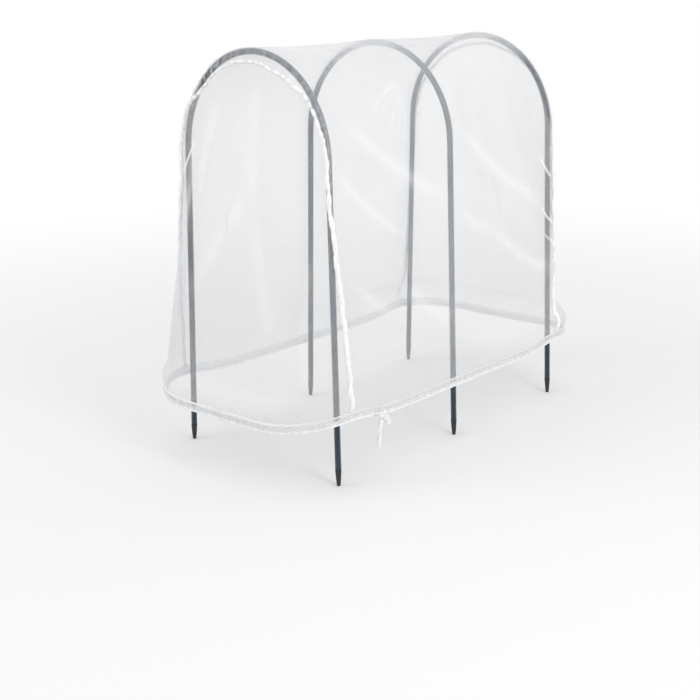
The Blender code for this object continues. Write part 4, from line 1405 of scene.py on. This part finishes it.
def build_end(place, end, folds, sizes, finish):
    """A D-shaped end net, with its folds, puckers and pleats."""
    grid, k = end_grid(end)
    out = normals_of(grid) * (-end)
    out = np.where(np.isfinite(out), out, 0)
    middle = np.array([0.0, float(end), 0.0])
    out = unit(mix(out, middle, (1 - smooth_step(k / END_LEVEL_MIDDLE))[..., None]))
    height, pale = fold_height_and_painted_light(grid[..., ::2], folds)
    height *= sizes.fold_gain
    s = (END_MIDDLE_S - END_FOOT_LENGTH * k) * end + side_shift(on_right(grid))[None]
    pleats, mask = hem_gathers(grid, s, sizes)
    around = running_length(grid[0])[None]
    from_seam = (1 - k) * ARCH_HALF
    pitch = sizes.pucker_pitch * END_PUCKER_STRETCH
    pucker = ripple(around - END_PUCKER_SLANT * from_seam, pitch) ** 2
    near = np.exp(-((from_seam / sizes.pucker_reach) ** 2))
    puckers = sizes.pucker_height * END_PUCKER_HEIGHT * pucker * near
    height += pleats * smooth_step((1 - k) / END_CALM_SEAM) + puckers
    # Painted highlight on the folds, pleats and puckers; painted shade where a fold's is below 0
    fold = layered(pale, mask, END_PUCKER_PAINTED_LIGHT * pucker * near**PUCKER_FADE)
    raised = grid + out * height[..., None]
    flat = np.stack([level_distances(grid), grid[..., 2]], axis=-1)
    name = f"{place}_end_cloth"
    mesh = grid_mesh(name, raised, flat, fold)
    close_middle(mesh, end)
    add_piece(name, mesh, finish["net"], "cover", [f"{place}_end_net"])


def wander(along, waves):
    """Two slow waves along a path, each of its own length and start."""
    (first, first_start), (second, second_start) = waves
    return np.sin(along / first + first_start) + np.sin(along / second + second_start)


def seam_girth(along, catch):
    """How thick the roll is: lumpy over the hoop, then even and fuller down the legs."""
    from_crown = np.abs(along / along[-1] * 2 - 1)
    even = smooth_step((from_crown - 0.22) / 0.2)
    down = smooth_step((from_crown - 0.25) / 0.5)
    lumps = smooth_step((ripple(along, catch) - 0.12) / 0.45)
    over_hoop, on_leg = (thin + more * lumps for thin, more in (GIRTH_OVER_HOOP, GIRTH_ON_LEG))
    return mix(GIRTH_AT_CROWN, GIRTH_AT_FOOT, down) * mix(over_hoop, on_leg, even)


def build_seam(place, end, sizes, finish):
    """The rolled seam: an uneven twisted roll with overcast stitches round it."""
    line = whole(seam_half(end))
    if end < 0:
        line = line + front_seam_shift()
    path = resampled(line, SEAM_STEP)
    along = running_length(path)
    one, other = tube_frames(path)
    aside, above = (sizes.seam_wave * wander(along, waves)[:, None] for waves in SEAM_WAVES)
    calm = smooth_step(np.minimum(along, along[-1] - along) / SEAM_CALM_ENDS)[:, None]
    path = path + calm * (one * aside + other * above)
    name = f"{place}_seam_roll"
    mesh = rope_mesh(name, path, SEAM_ROLL_RADIUS, **SEAM_TWIST)
    points = np.zeros(len(mesh.vertices) * 3, np.float32)
    mesh.vertices.foreach_get("co", points)
    points = points.reshape(len(path), -1, 3)
    girth = seam_girth(along, sizes.seam_catch)[:, None, None]
    points = path[:, None] + (points - path[:, None]) * girth
    mesh.vertices.foreach_set("co", points.astype(np.float32).ravel())
    add_piece(name, mesh, finish["seam"], "cover", [f"{place}_seam_binding"])
    values = {
        "Pitch": sizes.stitch_pitch,
        "Loop Radius": SEAM_ROLL_RADIUS * 0.98,
        "Thread Radius": sizes.thread_diameter / 2,
        "Slant": 0.5,
        "Finish": finish["thread"],
    }
    name = f"{place}_seam_stitches"
    mesh = grown_mesh(name, overcast_tree(), values, path_mesh(name, path[4:-4]))
    add_piece(name, mesh, None, "cover")


def hem_line(s):
    """Middle of the casing's round lower part, and the way out there, at these rim places."""
    foot, out = rim_line(s)
    centre = foot + out * (SEAT_GAP - HEM_DRAWN_IN)
    centre[..., 2] = HEM_Z + hem_lift(s) + CASING_RADIUS
    return centre, out


def hem_loop():
    """The rim places all the way round, with -1 for the left half, and their points."""
    count = round(2 * END_MIDDLE_S / HEM_STEP)
    s = np.linspace(-END_MIDDLE_S, END_MIDDLE_S, count + 1)
    centre, out = hem_line(s)
    left = slice(-2, 0, -1)
    places = np.concatenate([s, s[left]])
    sides = np.concatenate([np.ones(len(s)), -np.ones(len(s) - 2)])
    mirror = np.array([-1, 1, 1])
    points = np.concatenate([centre, centre[left] * mirror])
    ways = np.concatenate([out, out[left] * mirror])
    return places, sides, points, ways


def hem_section(turn, wave, gather_spread):
    """The casing's section, out and up from its middle, wider and lower on each pleat."""
    lift = np.clip(np.sin(turn), 0, 1) ** CASING_NECK_POWER
    across = CASING_RADIUS * np.cos(turn)
    across = across * (1 - lift * (1 - CASING_TOP_WIDTH / 2 / CASING_RADIUS))
    up = np.where(np.sin(turn) > 0, CASING_TALL * lift, CASING_RADIUS * np.sin(turn))
    low = np.clip(-np.sin(turn), 0, 1)[None]
    spread = 1 + gather_spread * (wave - 0.5) * (1 + PLEAT_SPREAD_LOW * low)
    up = up[None] * (1 + PLEAT_DROP * low * (wave - 0.5)) + PLEAT_RISE * (wave - 0.5)
    return across[None] * spread, up


def hem_fold_and_painted_light(turn, wave, places):
    """The highlight painted on the casing: on its pleats, along its top edge, and over the cord, where
    it partly stands for the white cord seen through the cloth.
    """
    low = np.clip(-np.sin(turn), 0, 1)[None]
    on_cord = np.exp(-(((np.sin(turn) - CORD_SHOWS_AT) / CORD_SHOWS_WITHIN) ** 2))[None]
    fold = PLEAT_PAINTED_LIGHT * wave**3 * (0.4 + low) + CORD_SHOWS_AND_PAINTED_LIGHT * on_cord
    at_end = smooth_step((np.abs(places) - SIDE_STRAIGHT) / QUARTER_ARC)[:, None]
    edge = mix(TOP_EDGE_PAINTED_LIGHT_AT_SIDES, TOP_EDGE_PAINTED_LIGHT_AT_ENDS, at_end)
    return np.maximum(np.clip(fold, 0, 1), edge * (np.sin(turn) > TOP_EDGE_FROM)[None])


def cut_outlet(mesh):
    """Opens the slit in the casing's outer face, where the cord comes out."""
    open_at = -OUTLET_FROM_MIDDLE
    slit_z = HEM_Z + float(hem_lift(np.array(open_at))) + CASING_RADIUS
    trimmed = bmesh.new()
    trimmed.from_mesh(mesh)
    slit = []
    for face in trimmed.faces:
        c = face.calc_center_median()
        away = ((c.y - open_at) / OUTLET_HALF) ** 2 + ((c.z - slit_z) / OUTLET_HALF_HEIGHT) ** 2
        if c.x > RIM_HALF_WIDTH - HEM_DRAWN_IN and away < 1:
            slit.append(face)
    bmesh.ops.delete(trimmed, geom=slit, context="FACES")
    bmesh.ops.recalc_face_normals(trimmed, faces=trimmed.faces)
    trimmed.to_mesh(mesh)
    trimmed.free()
    mesh.shade_smooth()


def build_hem(sizes, finish):
    """The gathered casing with its slit, and its two rows of stitches."""
    places, sides, centre, out = hem_loop()
    wave = ripple(places + side_shift(sides > 0), sizes.gather_pitch)[:, None]
    turn = np.linspace(-1.5 * pi, pi / 2, HEM_SIDES + 1)
    across, up = hem_section(turn, wave, sizes.gather_spread)
    grid = centre[:, None] + out[:, None] * across[..., None]
    grid[..., 2] += up
    around = running_length(np.vstack([centre, centre[:1]]))[:-1]
    rise = np.linspace(0, 1, HEM_SIDES + 1) * 2 * pi * CASING_RADIUS * HEM_CLOTH_SHARE
    cloth = np.stack(np.meshgrid(around, rise, indexing="ij"), axis=-1)
    mesh = grid_mesh("hem_cloth", grid, cloth, hem_fold_and_painted_light(turn, wave, places), closed=True)
    cut_outlet(mesh)
    add_piece("hem_cloth", mesh, finish["hem"], "cover", ["hem_casing"])
    tree = stitch_tree()
    values = {
        "Pitch": sizes.stitch_pitch * HEM_STITCHES_WIDER,
        "Stitch Length": sizes.stitch_pitch * HEM_STITCH_SHARE,
        "Thread Radius": sizes.thread_diameter / 2,
        "Finish": finish["thread"],
    }
    for number, (away, height) in enumerate(HEM_STITCH_ROWS, 1):
        row = centre + out * away
        row[:, 2] += height + PLEAT_RISE * (wave[:, 0] - 0.5)
        name = f"hem_stitches_{number}"
        mesh = grown_mesh(name, tree, values, path_mesh(name, np.vstack([row, row[:1]])))
        add_piece(name, mesh, None, "cover")


def knot_centre():
    centre, out = hem_line(np.array(-OUTLET_FROM_MIDDLE))
    return centre + out * (CASING_RADIUS + 2 * SEAT_GAP + KNOT_RADIUS)


def cord_way_out(side):
    """The cord's way from inside the casing out to the knot, on one side of the outlet."""
    places = -OUTLET_FROM_MIDDLE + side * np.array([0.013, 0.009, 0.005])
    inside, _ = hem_line(places)
    knot = knot_centre()
    near = knot + np.array([-0.0042, side * 0.0030, 0.0008])
    touch = knot + np.array([-0.0008, side * 0.0016, 0.0006])
    between = mix(inside[-1], near, 0.5) + np.array([0.0003, side * 0.0006, 0.0003])
    return np.vstack([inside, between, near, touch])


def short_end_path(centre):
    """The cord's short end, from the knot down and back along the hem."""
    way = np.array([0.12, 0.45, -0.88])
    begin = centre + np.array([0.0012, 0.0014, -0.0018])
    bow = np.array([0, 0.0012, 0])
    return rounded([begin, begin + way * 0.006 + bow, begin + way * 0.0142], CORD_END_STEP)


def knot_mesh(centre, short_path, cord_pitch):
    """The knot: a trefoil of cord, a band of it round that, and the short end."""
    t = np.linspace(0, 2 * pi, 140)
    trefoil = np.stack(
        [
            KNOT_DEPTH * np.sin(3 * t),
            KNOT_LOOP * (np.cos(t) - 2 * np.cos(2 * t)),
            KNOT_LOOP * (np.sin(t) + 2 * np.sin(2 * t)),
        ],
        axis=1,
    )
    t = np.linspace(0, 2 * pi, 60)
    band = np.stack([0.0040 * np.cos(t), 0.0034 * np.sin(t), 0.0012 * np.cos(t) - 0.0008], axis=1)
    short_radius = CORD_RADIUS * CORD_FULLNESS * SHORT_END_FULLNESS
    strands = (
        ("cord_knot", centre + trefoil, KNOT_STRAND_RADIUS, 16, False),
        ("cord_knot_band", centre + band, KNOT_BAND_RADIUS, 16, False),
        ("cord_short_end", short_path, short_radius, 18, True),
    )
    joined = bmesh.new()
    meshes = []
    for name, path, radius, sides, ends in strands:
        mesh = rope_mesh(name, path, radius, pitch=cord_pitch, sides=sides, ends=ends)
        joined.from_mesh(mesh)
        meshes.append(mesh)
    knot, *spare = meshes
    joined.to_mesh(knot)
    joined.free()
    for mesh in spare:
        bpy.data.meshes.remove(mesh)
    knot.shade_smooth()
    return knot


def build_drawcord(sizes, finish):
    """The cord in the casing, its knot, and its short and long ends."""
    places, sides, centre, _ = hem_loop()
    start = int(np.argmin(np.abs(places + OUTLET_FROM_MIDDLE) + (sides < 0)))
    loop = np.roll(centre, -start, axis=0)
    skip = round(CORD_LEAVES_CASING / HEM_STEP)
    path = np.vstack([cord_way_out(1)[::-1], loop[skip:-skip], cord_way_out(-1)])
    path = rounded(resampled(path, 0.004), CORD_STEP)
    mesh = rope_mesh("hem_cord", path, CORD_RADIUS, pitch=sizes.cord_pitch, sides=14)
    add_piece("hem_cord", mesh, finish["cord"], "cover", ["drawcord"])

    short_path = short_end_path(knot_centre())
    mesh = knot_mesh(knot_centre(), short_path, sizes.cord_pitch)
    knot = add_piece("cord_knot", mesh, finish["cord"], "cover", ["drawcord_knot"])

    tail_path = rounded(TAIL_ROUTE, CORD_END_STEP)
    mesh = rope_mesh("cord_tail", tail_path, CORD_RADIUS * CORD_FULLNESS, **TAIL_TWIST)
    tail = add_piece("cord_tail", mesh, finish["cord"], "cover", ["drawcord_tail"])
    tree = fibre_tree()
    for name, path, seed in (("cord_tail_fibres", tail_path, 5), ("cord_short_fibres", short_path, 9)):
        way = unit(path[-1] - path[-4])
        values = {
            "Count": FIBRE_COUNT,
            "Fibre Length": sizes.fibre_length,
            "Fibre Radius": FIBRE_RADIUS,
            "End Radius": CORD_RADIUS * 0.95,
            "Spread": FIBRE_SPREAD,
            "Place": tuple(path[-1] - way * FIBRES_START_INSIDE),
            "Way": tuple(way),
            "Seed": seed,
            "Finish": finish["cord"],
        }
        mesh = grown_mesh(name, tree, values)
        add_piece(name, mesh, None, "cover")


# The stage


def add_lamp(name, place, aim, size, watts):
    data = bpy.data.lights.new(name, "AREA")
    data.shape = "RECTANGLE"
    data.size, data.size_y = size
    data.energy = watts
    lamp = bpy.data.objects.new(name, data)
    lamp.location = place
    lamp.visible_camera = False
    lamp.rotation_mode = "QUATERNION"
    lamp.rotation_quaternion = (Vector(aim) - Vector(place)).to_track_quat("-Z", "Y")
    bpy.context.scene.collection.objects.link(lamp)


def seen_directly(tree):
    """1 for what the camera, a mirror or glass sees, and 0 for light on its way to a surface."""
    path = tree.nodes.new("ShaderNodeLightPath").outputs
    seen = maths(tree, "MAXIMUM", path["Is Camera Ray"], path["Is Glossy Ray"])
    return maths(tree, "MAXIMUM", seen, path["Is Transmission Ray"])


def light_world(scene, looks):
    """Even light from all round, in front of a backdrop that is seen as white."""
    world = bpy.data.worlds.new("Plain studio")
    scene.world = world
    world.use_nodes = True
    tree = world.node_tree
    backdrop = tree.nodes["Background"]
    values = {0: seen_directly(tree), 2: looks.studio_light, 3: 1.0}
    put(tree, backdrop.inputs["Color"], (1, 1, 1, 1))
    put(tree, backdrop.inputs["Strength"], result_of(tree, "ShaderNodeMix", values))


def lay_floor(scene, looks):
    """A wide pale floor that fades into the backdrop."""
    mesh = bpy.data.meshes.new("floor")
    corners = [(-1, -1), (1, -1), (1, 1), (-1, 1)]
    mesh.from_pydata([(x * FLOOR_HALF, y * FLOOR_HALF, 0) for x, y in corners], [], [(0, 1, 2, 3)])
    floor = bpy.data.objects.new("floor", mesh)
    scene.collection.objects.link(floor)
    made, tree, shader = new_finish("Pale floor", Roughness=0.9, Specular_IOR_Level=0.0)
    shader.inputs["Emission Color"].default_value = (1, 1, 1, 1)
    values = {0: object_place(tree)}
    away = add_node(tree, "ShaderNodeVectorMath", values, operation="LENGTH").outputs["Value"]
    values = {"Value": away, "From Min": FLOOR_FADE_START, "From Max": looks.floor_reach}
    far = result_of(tree, "ShaderNodeMapRange", values, interpolation_type="SMOOTHSTEP")
    seen = seen_directly(tree)
    shades(tree, shader, maths(tree, "MULTIPLY", seen, far), looks.floor_colour, (0, 0, 0))
    glow = ranged(tree, far, looks.floor_lift, 1.0)
    put(tree, shader.inputs["Emission Strength"], maths(tree, "MULTIPLY", seen, glow))
    mesh.materials.append(made)


def set_camera(scene):
    azimuth, elevation, roll = (radians(v) for v in (CAMERA_AZIMUTH, CAMERA_ELEVATION, CAMERA_ROLL))
    back = Vector((sin(azimuth) * cos(elevation), -cos(azimuth) * cos(elevation), sin(elevation)))
    data = bpy.data.cameras.new("Camera")
    data.sensor_width = SENSOR
    data.lens = CAMERA_FOCAL / FRAME_PIXELS * SENSOR
    data.shift_x = (FRAME_PIXELS / 2 - CAMERA_CENTRE[0]) / FRAME_PIXELS
    data.shift_y = (CAMERA_CENTRE[1] - FRAME_PIXELS / 2) / FRAME_PIXELS
    camera = bpy.data.objects.new("Camera", data)
    camera.location = CAMERA_PLACE
    right = (-back).cross(Vector((0, 0, 1))).normalized()
    up = right.cross(-back)
    right_rolled = right * cos(roll) + up * sin(roll)
    up_rolled = up * cos(roll) - right * sin(roll)
    turn = Matrix((right_rolled, up_rolled, back)).transposed()
    camera.rotation_mode = "QUATERNION"
    camera.rotation_quaternion = turn.to_quaternion()
    scene.collection.objects.link(camera)
    scene.camera = camera


def build_stage(looks):
    scene = bpy.context.scene
    scene.view_settings.view_transform = "Standard"
    light_world(scene, looks)
    lay_floor(scene, looks)
    for name, place, aim, size, power in LAMPS:
        add_lamp(name, place, aim, size, getattr(looks, power))
    set_camera(scene)


# The add-on


def length_property(label, text, value):
    return bpy.props.FloatProperty(
        name=label, description=text, default=value, precision=5, unit="LENGTH"
    )


def share_property(label, text, value):
    return bpy.props.FloatProperty(name=label, description=text, default=value, subtype="FACTOR")


def power_property(label, text, value):
    return bpy.props.FloatProperty(name=label, description=text, default=value, unit="POWER")


def colour_property(label, text, value):
    return bpy.props.FloatVectorProperty(
        name=label, description=text, default=value, subtype="COLOR", min=0, max=1
    )


class NetCoverSizes(bpy.types.PropertyGroup):
    """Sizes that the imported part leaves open."""

    tube_diameter: length_property("Tube Diameter", "Outside diameter of the tube", 2 * TUBE_RADIUS)
    weave_pitch: length_property("Weave Pitch", "Distance from thread to thread of the net", 0.0010)
    thread_share: share_property("Thread Share", "Share of the pitch that a thread takes", 0.145)
    fold_gain: share_property("Fold Gain", "How tall the net's long folds are, 1 as found", 0.75)
    gather_pitch: length_property("Gather Pitch", "Distance from pleat to pleat at the hem", 0.0095)
    gather_depth: length_property("Gather Depth", "Depth of the pleats at the casing", 0.0016)
    gather_reach: length_property("Gather Reach", "How far above the casing the pleats go", 0.012)
    gather_spread: share_property("Gather Spread", "How much wider the casing is on a pleat", 0.30)
    pucker_pitch: length_property("Pucker Pitch", "Distance from pucker to pucker", 0.013)
    pucker_reach: length_property("Pucker Reach", "How far from a seam its puckers go", 0.020)
    pucker_height: length_property("Pucker Height", "Height of a pucker beside the seam", 0.0007)
    seam_wave: length_property("Seam Wave", "How far a rolled seam wanders from its line", 0.00035)
    seam_catch: length_property("Seam Catch", "Distance from lump to lump of a rolled seam", 0.0125)
    stitch_pitch: length_property("Stitch Pitch", "Distance from stitch to stitch", 0.0032)
    thread_diameter: length_property("Thread Diameter", "Diameter of the sewing thread", 0.00055)
    cord_pitch: length_property("Cord Pitch", "Length of one turn of the cord's twist", 0.0085)
    fibre_length: length_property("Fibre Length", "Length of the fibres at the cord's ends", 0.0042)


class NetCoverLooks(bpy.types.PropertyGroup):
    """Colours and light."""

    tube_colour: colour_property("Tube", "Colour of the tubes' plastic coat", (0.008, 0.032, 0.060))
    tip_colour: colour_property("Ground Tips", "Colour of the moulded tips", (0.018, 0.022, 0.022))
    net_colour: colour_property("Net", "Colour of the net's threads", (0.795, 0.802, 0.815))
    seam_colour: colour_property("Seams", "Colour of the rolled seams and thread", (0.97, 0.97, 0.97))
    cord_colour: colour_property("Cord", "Colour of the drawcord", (0.97, 0.97, 0.965))
    floor_colour: colour_property("Floor", "Colour of the floor", (0.80, 0.80, 0.80))
    studio_light: share_property("Studio Light", "Strength of the even light from all round", 0.88)
    floor_lift: share_property("Floor Lift", "How much paler the camera sees the floor", 0.03)
    floor_reach: length_property("Floor Reach", "Where the floor is as white as the backdrop", 1.9)
    key_watts: power_property("Key Lamp", "Power of the main lamp", 15.0)
    side_watts: power_property("Side Lamp", "Power of the side lamp", 14.0)
    top_watts: power_property("Top Lamp", "Power of the lamp overhead", 3.0)


def current_settings(context):
    sizes, looks = context.scene.net_cover_sizes, context.scene.net_cover_looks
    return sizes, looks, finishes(looks, sizes)


class NetCoverHoops(bpy.types.Operator):
    """Build the three bent tube hoops."""

    bl_idname = "net_cover.hoops"
    bl_label = "Hoops"

    def execute(self, context):
        sizes, _, finish = current_settings(context)
        build_hoops(sizes, finish)
        return {"FINISHED"}


class NetCoverTips(bpy.types.Operator):
    """Turn the six ground tips."""

    bl_idname = "net_cover.tips"
    bl_label = "Ground Tips"

    def execute(self, context):
        sizes, _, finish = current_settings(context)
        build_tips(sizes, finish)
        return {"FINISHED"}


class NetCoverNet(bpy.types.Operator):
    """Drape the roof net and the two end nets, with their folds and gathers."""

    bl_idname = "net_cover.net"
    bl_label = "Net"

    def execute(self, context):
        sizes, _, finish = current_settings(context)
        build_roof(sizes, finish)
        build_end("front", -1, FRONT_FOLDS, sizes, finish)
        build_end("rear", 1, REAR_FOLDS, sizes, finish)
        return {"FINISHED"}


class NetCoverSeams(bpy.types.Operator):
    """Roll and overcast the two seams."""

    bl_idname = "net_cover.seams"
    bl_label = "Seams"

    def execute(self, context):
        sizes, _, finish = current_settings(context)
        build_seam("front", -1, sizes, finish)
        build_seam("rear", 1, sizes, finish)
        return {"FINISHED"}


class NetCoverHem(bpy.types.Operator):
    """Gather the hem casing and stitch it."""

    bl_idname = "net_cover.hem"
    bl_label = "Hem"

    def execute(self, context):
        sizes, _, finish = current_settings(context)
        build_hem(sizes, finish)
        return {"FINISHED"}


class NetCoverDrawcord(bpy.types.Operator):
    """Lay the drawcord in its casing, tie it and leave its ends."""

    bl_idname = "net_cover.drawcord"
    bl_label = "Drawcord"

    def execute(self, context):
        sizes, _, finish = current_settings(context)
        build_drawcord(sizes, finish)
        return {"FINISHED"}


class NetCoverStage(bpy.types.Operator):
    """Set up the pale floor, the plain light and the camera."""

    bl_idname = "net_cover.stage"
    bl_label = "Stage"

    def execute(self, context):
        build_stage(context.scene.net_cover_looks)
        return {"FINISHED"}


class NetCoverPanel(bpy.types.Panel):
    """Lists the cover's pieces, sizes and colours."""

    bl_idname = "VIEW3D_PT_net_cover"
    bl_label = "Net Cover"
    bl_space_type = "VIEW_3D"
    bl_region_type = "UI"
    bl_category = "Net Cover"

    def draw(self, context):
        for step in STEPS:
            self.layout.operator(f"net_cover.{step}")
        for group in (context.scene.net_cover_sizes, context.scene.net_cover_looks):
            box = self.layout.box()
            for label in group.__annotations__:
                box.prop(group, label)


STEPS = ("hoops", "tips", "net", "seams", "hem", "drawcord", "stage")
CLASSES = (
    NetCoverSizes,
    NetCoverLooks,
    NetCoverHoops,
    NetCoverTips,
    NetCoverNet,
    NetCoverSeams,
    NetCoverHem,
    NetCoverDrawcord,
    NetCoverStage,
    NetCoverPanel,
)


def register():
    for item in CLASSES:
        bpy.utils.register_class(item)
    bpy.types.Scene.net_cover_sizes = bpy.props.PointerProperty(type=NetCoverSizes)
    bpy.types.Scene.net_cover_looks = bpy.props.PointerProperty(type=NetCoverLooks)


def unregister():
    del bpy.types.Scene.net_cover_sizes
    del bpy.types.Scene.net_cover_looks
    for item in reversed(CLASSES):
        bpy.utils.unregister_class(item)


def main():
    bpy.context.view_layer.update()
    register()
    for step in STEPS:
        getattr(bpy.ops.net_cover, step)()


if __name__ == "__main__":
    main()
